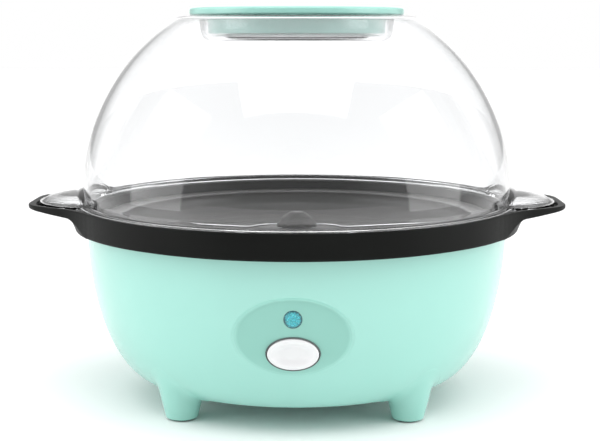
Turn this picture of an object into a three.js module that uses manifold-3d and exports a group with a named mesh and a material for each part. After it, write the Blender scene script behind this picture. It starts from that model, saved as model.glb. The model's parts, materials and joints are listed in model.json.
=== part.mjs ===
// Stirring popcorn maker, built as an assembly of separate parts.
// Millimetres, +Z up, front towards -Y, handles along X, origin on the ground under the drive shaft.
import * as THREE from 'three';
import { mergeVertices } from 'three/addons/utils/BufferGeometryUtils.js';
import Module from 'manifold-3d';

const wasm = await Module();
wasm.setup();

// ---------------------------------------------------------------- driving dimensions
const GAP = 0.3; // air left between neighbouring parts
const PILOT_R = 1.5; // blind hole that a screw bites into
const CLEAR_R = 1.7; // hole that a screw passes through
const ROUND = 40; // facets round the large turned shapes
const MEDIUM_ROUND = 28;
const SMALL_ROUND = 12;
const SCREW_ROUND = 6;

const BODY = { baseR: 80, topR: 114.2, bottomZ: 11, topZ: 91, wall: 3, floor: 5 };
const FOOT = { x: 58.2, y: 62.3, bottomZ: 0.8, soleR: 7.8, topR: 15.5, topZ: 31, padR: 6.4, padTopZ: 3 };
const COVER = { outerR: 66, openingR: 60, thick: 1.6, screwR: 63 };
const PANEL = { halfWidth: 29.3, halfHeight: 20.4, z: 53.6, depth: 1.8 };
const BUTTON = { halfWidth: 13.1, halfHeight: 8.9, z: 45.4, proud: 1, fixingX: 22 };
const LENS = { r: 4.5, z: 63 };
const INLET = { z: 32, bossR: 11, bossY: 107.5, holeR: 6.6, flangeR: 9, boreR: 3.6 };

const RING = { outerR: 121, innerR: 98, bottomZ: 90, topZ: 103, deckZ: 101, seatR: 108.2, seatZ: 96.6 };
const HANDLE = { reach: 145.4, trayReach: 141.5, topZ: 105.6, trayZ: 103 };
const RING_SCREW = { at: 105.8, boss: 5, bossZ: 82 };

const PAN = { floorZ: 82, floorR: 79, thick: 1.6, wallR: 97.2, flangeR: 107.8, flangeZ: 96.9, holeR: 7 };
const STUD = { at: 42, r: 3.5, bottomZ: 64.5, angles: [90, 210, 330] };
const ELEMENT = { loopR: 58, r: 3.2, z: 76.6, endX: 8, endZ: 58 };
const SHIELD = { bottomZ: 63.2, thick: 1, floorR: 82, wallR: 97, flangeR: 100.2, flangeZ: 89.9 };
const POST = { x: 14, y: 34, r: 4 };

const MOTOR = { x: 14, r: 30, bottomZ: 26, topZ: 55.9, wall: 1, plateZ: 56.2, plateThick: 1.2 };
const GEARS = { module: 1, rotorPinion: 8, idlerWheel: 22, idlerPinion: 8, outputWheel: 22 };
const GEAR_LAYER_1 = { bottomZ: 46, topZ: 50 };
const GEAR_LAYER_2 = { bottomZ: 51, topZ: 55 };
const GEAR_SPACING = 15; // both pairs of gears have this centre distance
const IDLER = new THREE.Vector2(MOTOR.x / 2, Math.sqrt(GEAR_SPACING ** 2 - (MOTOR.x / 2) ** 2));

// Depths named W are measured out of the control panel, so they are negative inside it.
const SWITCH = { frontW: -18.8, backW: -34, halfWidth: 9, halfHeight: 7, plungerR: 2.2 };
const BRACKET = { halfWidth: 26, halfHeight: 6.5, backW: -18.5, frontW: -17.8 };
const CLAMP = { y: 70, screwX: 9 };
const BLOCK = { x: -46, y: 50, turn: 43 };

const SHAFT = { r: 3.5, bottomZ: 50.6, topZ: 95.4, flat: 2.6, flatZ: 85 };
const HUB = { r: 11, bottomZ: 85.2, topZ: 99, armZ: 89.5, socketR: 2, socketFrom: 6.5 };
const ARM = { r: 1.6, runZ: 84.6 };

const DOME = { outerR: 116.3, wall: 2.2, centreZ: 109, topZ: 205.9, shoulderR: 62 };
const FLANGE = { r: 119.2, z: 101.3 };
const WELL = { r: 50.6, floorR: 49.4, floorZ: 194.4, wall: 2, slots: 10, slotAt: 28, slotLength: 22 };
const TAB = { reach: 141, centreX: 114, halfWidth: 37, rise: 9.2 };
const CAP = { discR: 57.9, discZ: 206.2, discThick: 3.8, skirtR: 48.4, skirtBottomZ: 196.2, wall: 2.2 };

const FINISH = {
  mint: { color: 0xb2d7cd, roughness: 0.3, metalness: 0 },
  black: { color: 0x1b1d1c, roughness: 0.45, metalness: 0 },
  clear: { color: 0xe8ecee, roughness: 0.05, metalness: 0 },
  nonStick: { color: 0x2d2c2b, roughness: 0.5, metalness: 0.2 },
  steel: { color: 0xb9bcc0, roughness: 0.3, metalness: 1 },
  zinc: { color: 0xa3a7aa, roughness: 0.45, metalness: 1 },
  copper: { color: 0x9a4f2c, roughness: 0.5, metalness: 0.4 },
  white: { color: 0xeeeeee, roughness: 0.2, metalness: 0 },
  grey: { color: 0x5d6664, roughness: 0.4, metalness: 0 },
  nylon: { color: 0xe6e1d2, roughness: 0.5, metalness: 0 },
  phenolic: { color: 0x26231f, roughness: 0.6, metalness: 0 },
  rubber: { color: 0x2a2a2a, roughness: 0.9, metalness: 0 },
  lens: { color: 0x2fb6bd, roughness: 0.15, metalness: 0 },
  wire: { color: 0xd8d2c4, roughness: 0.6, metalness: 0 },
};

// ---------------------------------------------------------------- shape helpers
const degrees = THREE.MathUtils.degToRad;

// A closed mesh as a solid for cutting and joining.
function solid(geometry) {
  const bare = new THREE.BufferGeometry();
  bare.setAttribute('position', geometry.getAttribute('position'));
  bare.setIndex(geometry.getIndex());
  const merged = mergeVertices(bare, 1e-3);
  const index = merged.getIndex().array;
  const triangles = [];
  for (let i = 0; i < index.length; i += 3) {
    const [a, b, c] = index.slice(i, i + 3);
    if (a !== b && b !== c && c !== a) triangles.push(a, b, c);
  }
  const vertProperties = merged.getAttribute('position').array;
  const triVerts = new Uint32Array(triangles);
  return new wasm.Manifold(new wasm.Mesh({ numProp: 3, vertProperties, triVerts }));
}

// The surface of a solid as a three.js geometry.
function surface(manifold) {
  const mesh = manifold.getMesh();
  const geometry = new THREE.BufferGeometry();
  geometry.setAttribute('position', new THREE.BufferAttribute(new Float32Array(mesh.vertProperties), 3));
  geometry.setIndex(new THREE.BufferAttribute(new Uint32Array(mesh.triVerts), 1));
  geometry.computeVertexNormals();
  return geometry;
}

// A profile of [radius, height] pairs turned about Z, outer side climbing.
function revolve(profile, segments = ROUND) {
  const points = profile.map(([r, z]) => new THREE.Vector2(r, z));
  return new THREE.LatheGeometry(points, segments).rotateX(Math.PI / 2);
}

// The same, for a ring or tube whose profile closes on itself off the axis.
function revolveRing(profile, segments = ROUND) {
  return revolve([...profile, profile[0]], segments);
}

// Points of an elliptical arc in [radius, height], angles in degrees from the outward direction.
function arc(centreR, centreZ, radiusR, radiusZ, from, to, steps) {
  return Array.from({ length: steps + 1 }, (_, i) => {
    const angle = degrees(from + ((to - from) * i) / steps);
    return [centreR + radiusR * Math.cos(angle), centreZ + radiusZ * Math.sin(angle)];
  });
}

function cylinder(r, bottomZ, topZ, segments = SMALL_ROUND) {
  const profile = [[0, bottomZ], [r, bottomZ], [r, topZ], [0, topZ]];
  return revolve(profile, segments);
}

function tubeRing(outerR, innerR, bottomZ, topZ, segments = SMALL_ROUND) {
  const profile = [[innerR, bottomZ], [outerR, bottomZ], [outerR, topZ], [innerR, topZ]];
  return revolveRing(profile, segments);
}

function block(width, depth, bottomZ, topZ) {
  return new THREE.BoxGeometry(width, depth, topZ - bottomZ).translate(0, 0, (bottomZ + topZ) / 2);
}

function ellipse(halfWidth, halfHeight, segments) {
  const points = Array.from({ length: segments }, (_, i) => {
    const angle = (2 * Math.PI * i) / segments;
    return new THREE.Vector2(halfWidth * Math.cos(angle), halfHeight * Math.sin(angle));
  });
  return new THREE.Shape(points);
}

// A flat outline in XY raised from one height to another.
function prism(shape, bottomZ, topZ, curveSegments = 6) {
  const options = { depth: topZ - bottomZ, bevelEnabled: false, curveSegments };
  return new THREE.ExtrudeGeometry(shape, options).translate(0, 0, bottomZ);
}

// A round rod, wire or tube along a smooth curve through the given points.
function rod(points, r, sides, steps) {
  const path = new THREE.CatmullRomCurve3(points.map((p) => new THREE.Vector3(...p)), false, 'centripetal');
  const options = { steps, bevelEnabled: false, extrudePath: path };
  return new THREE.ExtrudeGeometry(ellipse(r, r, sides), options);
}

function part(name, geometry, finish) {
  const mesh = new THREE.Mesh(geometry, new THREE.MeshStandardMaterial(finish));
  mesh.name = name;
  return mesh;
}

// A pan-head screw pointing up: head below z = 0, shank rising to the given length.
function screw(name, headR, shankR, length, x, y, headTopZ) {
  const headHeight = headR * 0.7;
  const profile = [[0, -headHeight], [headR * 0.75, -headHeight], [headR, -headHeight * 0.5], [headR, 0]];
  profile.push([shankR, 0], [shankR, length - shankR], [0, length]);
  const mesh = part(name, revolve(profile, SCREW_ROUND), FINISH.zinc);
  mesh.position.set(x, y, headTopZ);
  return mesh;
}

// ---------------------------------------------------------------- base housing
// The wall is a quarter ellipse turned about Z: full radius at the rim, flat at the floor.
function bodyRadius(z) {
  const drop = (BODY.topZ - z) / (BODY.topZ - BODY.bottomZ);
  return BODY.baseR + (BODY.topR - BODY.baseR) * Math.sqrt(1 - drop * drop);
}

// The floor of the control panel's pocket: level with the wall at its foot, sinking towards its top.
function panelRadius(z) {
  const foot = PANEL.z - PANEL.halfHeight;
  return bodyRadius(z) - (PANEL.depth * (z - foot)) / (2 * PANEL.halfHeight);
}

// A place on the panel: local Z points out of the panel, local Y up along it.
function panelFrame(z) {
  const slope = panelRadius(z + 0.5) - panelRadius(z - 0.5);
  const frame = new THREE.Matrix4().makeRotationX(Math.PI / 2 + Math.atan(slope));
  return frame.setPosition(0, -panelRadius(z), z);
}

function bowl(radiusR, radiusZ, floorZ, steps) {
  const wall = arc(BODY.baseR, BODY.topZ, radiusR, radiusZ, -90, 0, steps);
  return solid(revolve([[0, floorZ], ...wall, [0, BODY.topZ]]));
}

function footSolid(x, y) {
  const { soleR, bottomZ, topR, topZ } = FOOT;
  const profile = [[0, bottomZ], [soleR, bottomZ], [8.9, 1.8], [9.6, 6], [10.8, 9.5], [12.6, 13]];
  profile.push([topR, 19], [topR, topZ], [0, topZ]);
  return solid(revolve(profile, SMALL_ROUND).translate(x, y, 0));
}

function panelPocket() {
  const shape = ellipse(PANEL.halfWidth, PANEL.halfHeight, MEDIUM_ROUND);
  const opening = prism(shape, 0, 60).rotateX(Math.PI / 2).translate(0, -80, PANEL.z);
  const heights = [30, 38, 46, 54, 62, 70, 78];
  const floor = revolve([[0, 30], ...heights.map((z) => [panelRadius(z), z]), [0, 78]]);
  return solid(opening).subtract(solid(floor));
}

function corners(x, y) {
  return [[x, -y], [x, y], [-x, y], [-x, -y]];
}

function ringScrewPlaces() {
  const at = RING_SCREW.at * Math.SQRT1_2;
  return corners(at, at);
}

function makeBaseHousing() {
  const { baseR, topR, bottomZ, topZ, wall, floor } = BODY;
  const floorTop = bottomZ + floor;
  const inlet = (r, from, to) => {
    const tube = cylinder(r, from, to, 16).rotateX(-Math.PI / 2);
    return solid(tube.translate(0, 0, INLET.z));
  };
  let housing = bowl(topR - baseR, topZ - bottomZ, bottomZ, 9);
  for (const [x, y] of corners(FOOT.x, FOOT.y)) housing = housing.add(footSolid(x, y));
  housing = housing.add(inlet(INLET.bossR, 90, INLET.bossY));
  housing = housing.subtract(bowl(topR - wall - baseR, topZ - floorTop, floorTop, 6));
  housing = housing.subtract(solid(cylinder(COVER.openingR, 0, floorTop + 1, MEDIUM_ROUND)));
  const rebateTop = bottomZ + COVER.thick + GAP;
  housing = housing.subtract(solid(cylinder(COVER.outerR + GAP, 0, rebateTop, MEDIUM_ROUND)));
  for (const [x, y] of corners(FOOT.x, FOOT.y)) {
    const socket = cylinder(FOOT.padR + GAP, 0, FOOT.padTopZ + GAP).translate(x, y, 0);
    housing = housing.subtract(solid(socket));
  }
  for (const [x, y] of ringScrewPlaces()) {
    const boss = cylinder(RING_SCREW.boss, RING_SCREW.bossZ, topZ, 12).translate(x, y, 0);
    const bore = cylinder(CLEAR_R, RING_SCREW.bossZ - 1, topZ + 1, 8).translate(x, y, 0);
    housing = housing.add(solid(boss));
    housing = housing.subtract(solid(bore));
  }
  const buttonFrame = panelFrame(BUTTON.z);
  for (const x of [-BUTTON.fixingX, BUTTON.fixingX]) {
    const boss = cylinder(3.2, -17.5, -4, 12).translate(x, 0, 0).applyMatrix4(buttonFrame);
    const pilot = cylinder(PILOT_R, -18, -8, 8).translate(x, 0, 0).applyMatrix4(buttonFrame);
    housing = housing.add(solid(boss)).subtract(solid(pilot));
  }
  const buttonHole = prism(ellipse(BUTTON.halfWidth + 1.4, BUTTON.halfHeight + 1.4, 24), -10, 10);
  housing = housing.subtract(panelPocket());
  housing = housing.subtract(solid(buttonHole.applyMatrix4(buttonFrame)));
  const lensHole = cylinder(LENS.r + GAP, -10, 10, 16).applyMatrix4(panelFrame(LENS.z));
  housing = housing.subtract(solid(lensHole));
  housing = housing.subtract(inlet(INLET.holeR, 80, 120));
  for (const [x, y] of coverScrewPlaces()) {
    housing = housing.subtract(solid(cylinder(PILOT_R, bottomZ, floorTop + 1, 8).translate(x, y, 0)));
  }
  for (const x of [-CLAMP.screwX, CLAMP.screwX]) {
    housing = housing.subtract(solid(cylinder(PILOT_R, 12.5, floorTop + 1, 8).translate(x, CLAMP.y, 0)));
  }
  return part('base_housing', surface(housing), FINISH.mint);
}

// ---------------------------------------------------------------- bottom cover and feet
function coverScrewPlaces() {
  const r = COVER.screwR;
  return [[r, 0], [0, r], [-r, 0], [0, -r]];
}

function makeBottomCover() {
  const { outerR, thick } = COVER;
  const bottomZ = BODY.bottomZ;
  let plate = solid(cylinder(outerR, bottomZ, bottomZ + thick, MEDIUM_ROUND));
  for (let i = 0; i < 12; i += 1) {
    const slot = block(18, 3, 0, 20).translate(35, 0, 0).rotateZ(degrees(30 * i + 15));
    plate = plate.subtract(solid(slot));
  }
  for (const [x, y] of coverScrewPlaces()) {
    plate = plate.subtract(solid(cylinder(CLEAR_R, 0, 20, 8).translate(x, y, 0)));
  }
  return part('bottom_cover', surface(plate), FINISH.mint);
}

function makeFootPads() {
  return corners(FOOT.x, FOOT.y).map(([x, y], i) => {
    const pad = part(`foot_pad_${i + 1}`, cylinder(FOOT.padR, 0, FOOT.padTopZ), FINISH.rubber);
    pad.position.set(x, y, 0);
    return pad;
  });
}

function makeCoverScrews() {
  const headTopZ = BODY.bottomZ - GAP;
  return coverScrewPlaces().map(([x, y], i) => screw(`cover_screw_${i + 1}`, 2.8, 1.2, 4.6, x, y, headTopZ));
}

// ---------------------------------------------------------------- rim ring with handles
// Plan outline of one handle, pointing along +X.
function handleOutline() {
  const shape = new THREE.Shape();
  shape.moveTo(103, -63.5);
  shape.quadraticCurveTo(114.7, -44.6, 123.8, -39.1);
  shape.lineTo(138, -28.8);
  shape.quadraticCurveTo(HANDLE.reach, -22.8, HANDLE.reach, -10);
  shape.lineTo(HANDLE.reach, 10);
  shape.quadraticCurveTo(HANDLE.reach, 22.8, 138, 28.8);
  shape.lineTo(123.8, 39.1);
  shape.quadraticCurveTo(114.7, 44.6, 103, 63.5);
  return shape;
}

// Plan outline of the shallow tray that the dome's tab lies in.
function trayOutline() {
  const shape = new THREE.Shape();
  shape.moveTo(100, -50);
  shape.lineTo(108.5, -50);
  shape.quadraticCurveTo(113, -42, 121.5, -37.6);
  shape.lineTo(135.8, -26.8);
  shape.quadraticCurveTo(HANDLE.trayReach, -21, HANDLE.trayReach, -9);
  shape.lineTo(HANDLE.trayReach, 9);
  shape.quadraticCurveTo(HANDLE.trayReach, 21, 135.8, 26.8);
  shape.lineTo(121.5, 37.6);
  shape.quadraticCurveTo(113, 42, 108.5, 50);
  shape.lineTo(100, 50);
  return shape;
}

// Everything below a handle: a hollow curve out of the ring's wall, then a gentle climb to the tip.
function belowHandle() {
  const beyond = HANDLE.reach + 5;
  const curve = [[beyond, 101.4], [142, 100.6], [128, 98.8], [124.2, 97.4], [122.2, 95], [121.2, 91]];
  return solid(revolveRing([[121.2, 70], [beyond, 70], ...curve]));
}

function handleSolid(turn) {
  const plan = solid(prism(handleOutline(), 80, HANDLE.topZ).rotateZ(turn));
  return plan.subtract(belowHandle()).subtract(solid(cylinder(RING.outerR - 1.5, 70, 120, ROUND)));
}

// The lip round the ring is low at the front and back and climbs by this much towards the handles.
function lipRise(x, y) {
  const fromFront = THREE.MathUtils.radToDeg(Math.atan2(Math.abs(x), Math.abs(y)));
  return (HANDLE.topZ - RING.topZ) * THREE.MathUtils.smoothstep(fromFront, 12, 52);
}

function raiseLip(geometry) {
  const spots = geometry.getAttribute('position');
  for (let i = 0; i < spots.count; i += 1) {
    const onLip = spots.getZ(i) > RING.deckZ + 1;
    if (onLip) spots.setZ(i, spots.getZ(i) + lipRise(spots.getX(i), spots.getY(i)));
  }
  return geometry;
}

function makeRimRing() {
  const { outerR, innerR, bottomZ, topZ, deckZ, seatR, seatZ } = RING;
  const skirtInnerR = BODY.topR + 0.9;
  const underZ = BODY.topZ + GAP;
  const profile = [[innerR, underZ], [skirtInnerR, underZ], [skirtInnerR, 98.4], [118.4, 98.4]];
  profile.push([118.4, bottomZ], [outerR - 1, bottomZ], [outerR, bottomZ + 1], [outerR, topZ - 0.8]);
  profile.push([outerR - 0.6, topZ], [outerR - 1.4, topZ], [outerR - 1.5, deckZ], [110.5, deckZ]);
  profile.push([seatR, 98.9], [seatR, seatZ], [innerR, seatZ]);
  let ring = solid(raiseLip(revolveRing(profile)));
  for (const turn of [0, Math.PI]) {
    ring = ring.add(handleSolid(turn));
    ring = ring.subtract(solid(prism(trayOutline(), HANDLE.trayZ, 110).rotateZ(turn)));
  }
  for (const [x, y] of ringScrewPlaces()) {
    ring = ring.subtract(solid(cylinder(PILOT_R, underZ - 1, 96, 8).translate(x, y, 0)));
  }
  return part('rim_ring', surface(ring), FINISH.black);
}

function makeRingScrews() {
  const headZ = RING_SCREW.bossZ - GAP;
  return ringScrewPlaces().map(([x, y], i) => screw(`ring_screw_${i + 1}`, 3, 1.2, 14, x, y, headZ));
}

// ---------------------------------------------------------------- popping pan and heater
function makePoppingPan() {
  const { floorZ, floorR, thick, wallR, flangeR, flangeZ, holeR } = PAN;
  const rise = flangeZ + thick - floorZ;
  const inside = arc(floorR, floorZ + rise, wallR - thick - floorR, rise, -90, -12, 4);
  const outside = arc(floorR, floorZ + rise, wallR - floorR, rise + thick, -90, -14, 4);
  const flangeTopZ = flangeZ + thick;
  const profile = [[holeR, floorZ - thick], ...outside, [wallR, flangeZ], [flangeR, flangeZ]];
  profile.push([flangeR, flangeTopZ], [wallR - 1, flangeTopZ], ...inside.reverse(), [holeR, floorZ]);
  let pan = solid(revolveRing(profile));
  for (const angle of STUD.angles) {
    const x = STUD.at * Math.cos(degrees(angle));
    const y = STUD.at * Math.sin(degrees(angle));
    pan = pan.add(solid(cylinder(STUD.r, STUD.bottomZ, floorZ - 0.5, 12).translate(x, y, 0)));
    pan = pan.subtract(solid(cylinder(CLEAR_R, STUD.bottomZ - 1, 75, 8).translate(x, y, 0)));
  }
  return part('popping_pan', surface(pan), FINISH.nonStick);
}

function makeHeatingElement() {
  const { loopR, r, z, endX, endZ } = ELEMENT;
  const endY = -Math.sqrt(loopR * loopR - endX * endX);
  const turns = Array.from({ length: 21 }, (_, i) => {
    const angle = degrees(-90 + 13 + (334 * i) / 20);
    return [loopR * Math.cos(angle), loopR * Math.sin(angle), z];
  });
  const start = [[endX, endY, endZ], [endX, endY, 66], [endX, endY, 72], [endX + 1, endY, 75]];
  const end = start.map(([x, y, height]) => [-x, y, height]).reverse();
  return part('heating_element', rod([...start, ...turns, ...end], r, 6, 44), FINISH.steel);
}

function makeHeatShield() {
  const { bottomZ, thick, floorR, wallR, flangeR, flangeZ } = SHIELD;
  const topZ = bottomZ + thick;
  const profile = [[5.5, bottomZ], [floorR, bottomZ], [wallR, 86], [wallR, flangeZ], [flangeR, flangeZ]];
  profile.push([flangeR, flangeZ + thick], [wallR - 0.8, flangeZ + thick], [wallR - 0.8, 86.4]);
  profile.push([floorR - 0.6, topZ], [5.5, topZ]);
  let shield = solid(revolveRing(profile));
  for (const angle of STUD.angles) {
    const x = STUD.at * Math.cos(degrees(angle));
    const y = STUD.at * Math.sin(degrees(angle));
    shield = shield.subtract(solid(cylinder(2, 60, 70, 8).translate(x, y, 0)));
  }
  for (const side of [-1, 1]) {
    const y = -Math.sqrt(ELEMENT.loopR ** 2 - ELEMENT.endX ** 2);
    shield = shield.subtract(solid(cylinder(5, 60, 70, 12).translate(side * ELEMENT.endX, y, 0)));
    const post = cylinder(POST.r, MOTOR.plateZ + MOTOR.plateThick + GAP, bottomZ + 0.5, 12);
    const bore = cylinder(CLEAR_R, 50, 61.5, 8);
    shield = shield.add(solid(post.translate(POST.x, side * POST.y, 0)));
    shield = shield.subtract(solid(bore.translate(POST.x, side * POST.y, 0)));
  }
  return part('heat_shield', surface(shield), FINISH.zinc);
}

function makeShieldScrews() {
  return STUD.angles.map((angle, i) => {
    const x = STUD.at * Math.cos(degrees(angle));
    const y = STUD.at * Math.sin(degrees(angle));
    return screw(`shield_screw_${i + 1}`, 3.2, 1.4, 11, x, y, SHIELD.bottomZ - GAP);
  });
}

function makeThermostat() {
  const topZ = PAN.floorZ - PAN.thick - GAP;
  const body = [[0, 70], [8, 70], [8, 76.5], [8.8, 77], [8.8, topZ - 0.5], [6, topZ], [0, topZ]];
  let thermostat = solid(revolve(body, 20));
  for (const y of [-4, 4]) {
    thermostat = thermostat.add(solid(block(0.8, 5, 66, 70.5).translate(0, y, 0)));
  }
  const mesh = part('thermostat', surface(thermostat), FINISH.phenolic);
  mesh.position.set(-28, 8, 0);
  return mesh;
}

function makeThermalFuse() {
  const profile = [[0, -15], [0.6, -15], [0.6, -9], [2.2, -8], [2.2, 8], [0.6, 9], [0.6, 15], [0, 15]];
  const fuse = part('thermal_fuse', revolve(profile, 10), FINISH.white);
  fuse.rotation.set(0, Math.PI / 2, 0);
  fuse.position.set(6, -30, 77);
  return fuse;
}

// ---------------------------------------------------------------- gear motor
// Outline of a spur gear with straight-sided teeth, one of them centred on the phase angle.
function gearShape(teeth, phase) {
  const pitchR = (GEARS.module * teeth) / 2;
  const tipR = pitchR + GEARS.module * 0.9;
  const rootR = pitchR - GEARS.module * 1.25;
  const pitch = (2 * Math.PI) / teeth;
  const flanks = [[rootR, -0.32], [tipR, -0.13], [tipR, 0.13], [rootR, 0.32]];
  const points = [];
  for (let tooth = 0; tooth < teeth; tooth += 1) {
    for (const [r, share] of flanks) {
      const angle = phase + pitch * (tooth + share);
      points.push(new THREE.Vector2(r * Math.cos(angle), r * Math.sin(angle)));
    }
  }
  return new THREE.Shape(points);
}

function makeMotorCan() {
  const { x, r, bottomZ, topZ, wall } = MOTOR;
  const profile = [[0, bottomZ], [r, bottomZ], [r, topZ], [r - wall, topZ]];
  profile.push([r - wall, bottomZ + wall], [0, bottomZ + wall]);
  const can = part('motor_can', revolve(profile, MEDIUM_ROUND), FINISH.zinc);
  can.position.set(x, 0, 0);
  return can;
}

function makeMotorCover() {
  const { x, r, plateZ, plateThick } = MOTOR;
  const topZ = plateZ + plateThick;
  let plate = solid(cylinder(r, plateZ, topZ, MEDIUM_ROUND));
  plate = plate.add(solid(block(11, 2 * POST.y + 10, plateZ, topZ)));
  for (const y of [-POST.y, POST.y]) {
    plate = plate.subtract(solid(cylinder(1.8, 50, 60, 8).translate(0, y, 0)));
  }
  plate = plate.subtract(solid(cylinder(SHAFT.r + 0.5, 50, 60, SMALL_ROUND).translate(-x, 0, 0)));
  const mesh = part('motor_cover', surface(plate), FINISH.zinc);
  mesh.position.set(x, 0, 0);
  return mesh;
}

function makeMotorScrews() {
  const headTopZ = MOTOR.plateZ - GAP;
  const places = [-POST.y, POST.y];
  return places.map((y, i) => screw(`motor_screw_${i + 1}`, 3, 1.4, 5, POST.x, y, headTopZ));
}

function makeStatorCoil() {
  const coil = part('stator_coil', tubeRing(27.5, 12, 29, 44.5, 28), FINISH.copper);
  coil.position.set(MOTOR.x, 0, 0);
  return coil;
}

function makeMotorRotor() {
  const magnet = [[0, 28], [1.2, 28], [1.2, 30], [10.5, 30], [10.5, 44], [1.4, 44], [1.4, 50.3], [0, 50.3]];
  const towardsIdler = Math.atan2(IDLER.y, IDLER.x - MOTOR.x);
  const pinion = gearShape(GEARS.rotorPinion, towardsIdler);
  const { bottomZ, topZ } = GEAR_LAYER_1;
  const rotor = solid(revolve(magnet, 20)).add(solid(prism(pinion, bottomZ, topZ)));
  const mesh = part('motor_rotor', surface(rotor), FINISH.phenolic);
  mesh.position.set(MOTOR.x, 0, 0);
  return mesh;
}

function makeIdlerGear() {
  const fromRotor = Math.atan2(IDLER.y, IDLER.x - MOTOR.x);
  const wheelPhase = fromRotor + Math.PI + Math.PI / GEARS.idlerWheel;
  const towardsOutput = Math.atan2(-IDLER.y, -IDLER.x);
  const wheel = prism(gearShape(GEARS.idlerWheel, wheelPhase), GEAR_LAYER_1.bottomZ, GEAR_LAYER_1.topZ);
  const pinion = prism(gearShape(GEARS.idlerPinion, towardsOutput), GEAR_LAYER_1.topZ - 1, GEAR_LAYER_2.topZ);
  const pin = cylinder(1, 45, 55.8, 8);
  const gear = solid(wheel).add(solid(pinion)).add(solid(pin));
  const mesh = part('idler_gear', surface(gear), FINISH.nylon);
  mesh.position.set(IDLER.x, IDLER.y, 0);
  return mesh;
}

function makeOutputGear() {
  const fromIdler = Math.atan2(-IDLER.y, -IDLER.x);
  const phase = fromIdler + Math.PI + Math.PI / GEARS.outputWheel;
  const wheel = prism(gearShape(GEARS.outputWheel, phase), GEAR_LAYER_2.bottomZ, GEAR_LAYER_2.topZ);
  const gear = solid(wheel).subtract(solid(cylinder(SHAFT.r + GAP, 40, 60)));
  return part('output_gear', surface(gear), FINISH.nylon);
}

// ---------------------------------------------------------------- drive shaft and stirrer
// A round bar with one flat, which turns whatever sits on it.
function dBar(r, flat, bottomZ, topZ) {
  const side = block(2 * r, 4 * r, bottomZ - 1, topZ + 1).translate(flat + r, 0, 0);
  return solid(cylinder(r, bottomZ, topZ)).subtract(solid(side));
}

function makeDriveShaft() {
  const { r, bottomZ, topZ, flat, flatZ } = SHAFT;
  const bar = solid(cylinder(r, bottomZ, flatZ)).add(dBar(r, flat, flatZ - 1, topZ));
  return part('drive_shaft', surface(bar), FINISH.steel);
}

function makeShaftBush() {
  const boreR = SHAFT.r + GAP;
  const profile = [[boreR, 76.5], [6.7, 76.5], [6.7, 82.3], [9.5, 82.3], [9.5, 83.8], [boreR, 83.8]];
  return part('shaft_bush', revolveRing(profile, 20), FINISH.steel);
}

function makeStirHub() {
  const { r, bottomZ, topZ, armZ, socketR, socketFrom } = HUB;
  const profile = [[0, bottomZ], [r - 0.6, bottomZ], [r, bottomZ + 1], [r - 0.6, 93], [7.5, 97]];
  profile.push([4, 98.6], [0, topZ]);
  let hub = solid(revolve(profile, 24));
  hub = hub.subtract(dBar(SHAFT.r + GAP, SHAFT.flat + GAP, bottomZ - 1, SHAFT.topZ + GAP));
  for (const turn of [0, Math.PI]) {
    const socket = cylinder(socketR, socketFrom, 20, 10).rotateY(Math.PI / 2).rotateZ(turn);
    hub = hub.subtract(solid(socket.translate(0, 0, armZ)));
  }
  return part('stir_hub', surface(hub), FINISH.phenolic);
}

function makeStirArms() {
  const inner = [[HUB.socketFrom + 0.4, 0, HUB.armZ], [15, 0, HUB.armZ], [21, 0, 87.6], [27, 0, ARM.runZ]];
  const longPath = [...inner, [45, 4, ARM.runZ], [64, 5, ARM.runZ], [77, 0, ARM.runZ + 0.4], [84, -5, 87]];
  const shortPath = [...inner, [40, -3, ARM.runZ], [54, -6, ARM.runZ], [60, -13, ARM.runZ]];
  const longArm = part('stir_arm_long', rod(longPath, ARM.r, 6, 18), FINISH.steel);
  const shortArm = part('stir_arm_short', rod(shortPath, ARM.r, 6, 14), FINISH.steel);
  shortArm.rotation.z = Math.PI;
  return [longArm, shortArm];
}

// ---------------------------------------------------------------- switch, lamp and panel pieces
function onPanel(z, mesh) {
  mesh.applyMatrix4(panelFrame(z));
  return mesh;
}

function makePowerButton() {
  const { halfWidth, halfHeight, proud } = BUTTON;
  const face = prism(ellipse(halfWidth - 0.8, halfHeight - 0.8, 24), 0, proud);
  const barrel = prism(ellipse(halfWidth, halfHeight, 24), -6, proud - 0.7);
  const collar = prism(ellipse(halfWidth + 2, halfHeight + 2, 24), -7, -5.5);
  const button = solid(barrel).add(solid(face)).add(solid(collar));
  return onPanel(BUTTON.z, part('power_button', surface(button), FINISH.white));
}

function makeButtonBezel() {
  const outer = prism(ellipse(BUTTON.halfWidth + 1.1, BUTTON.halfHeight + 1.1, 24), -3.4, 0.3);
  const inner = prism(ellipse(BUTTON.halfWidth + GAP, BUTTON.halfHeight + GAP, 24), -5, 5);
  const ring = surface(solid(outer).subtract(solid(inner)));
  return onPanel(BUTTON.z, part('button_bezel', ring, FINISH.grey));
}

function makeSwitchPlunger() {
  const plunger = cylinder(SWITCH.plungerR, -23, -7 - GAP, 12);
  return onPanel(BUTTON.z, part('switch_plunger', plunger, FINISH.nylon));
}

function makeButtonSpring() {
  const turns = 4;
  const coils = Array.from({ length: turns * 8 + 1 }, (_, i) => {
    const angle = (2 * Math.PI * i) / 8;
    return [4.4 * Math.cos(angle), 4.4 * Math.sin(angle), -17 + (9.2 * i) / (turns * 8)];
  });
  return onPanel(BUTTON.z, part('button_spring', rod(coils, 0.4, 4, turns * 8), FINISH.steel));
}

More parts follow.
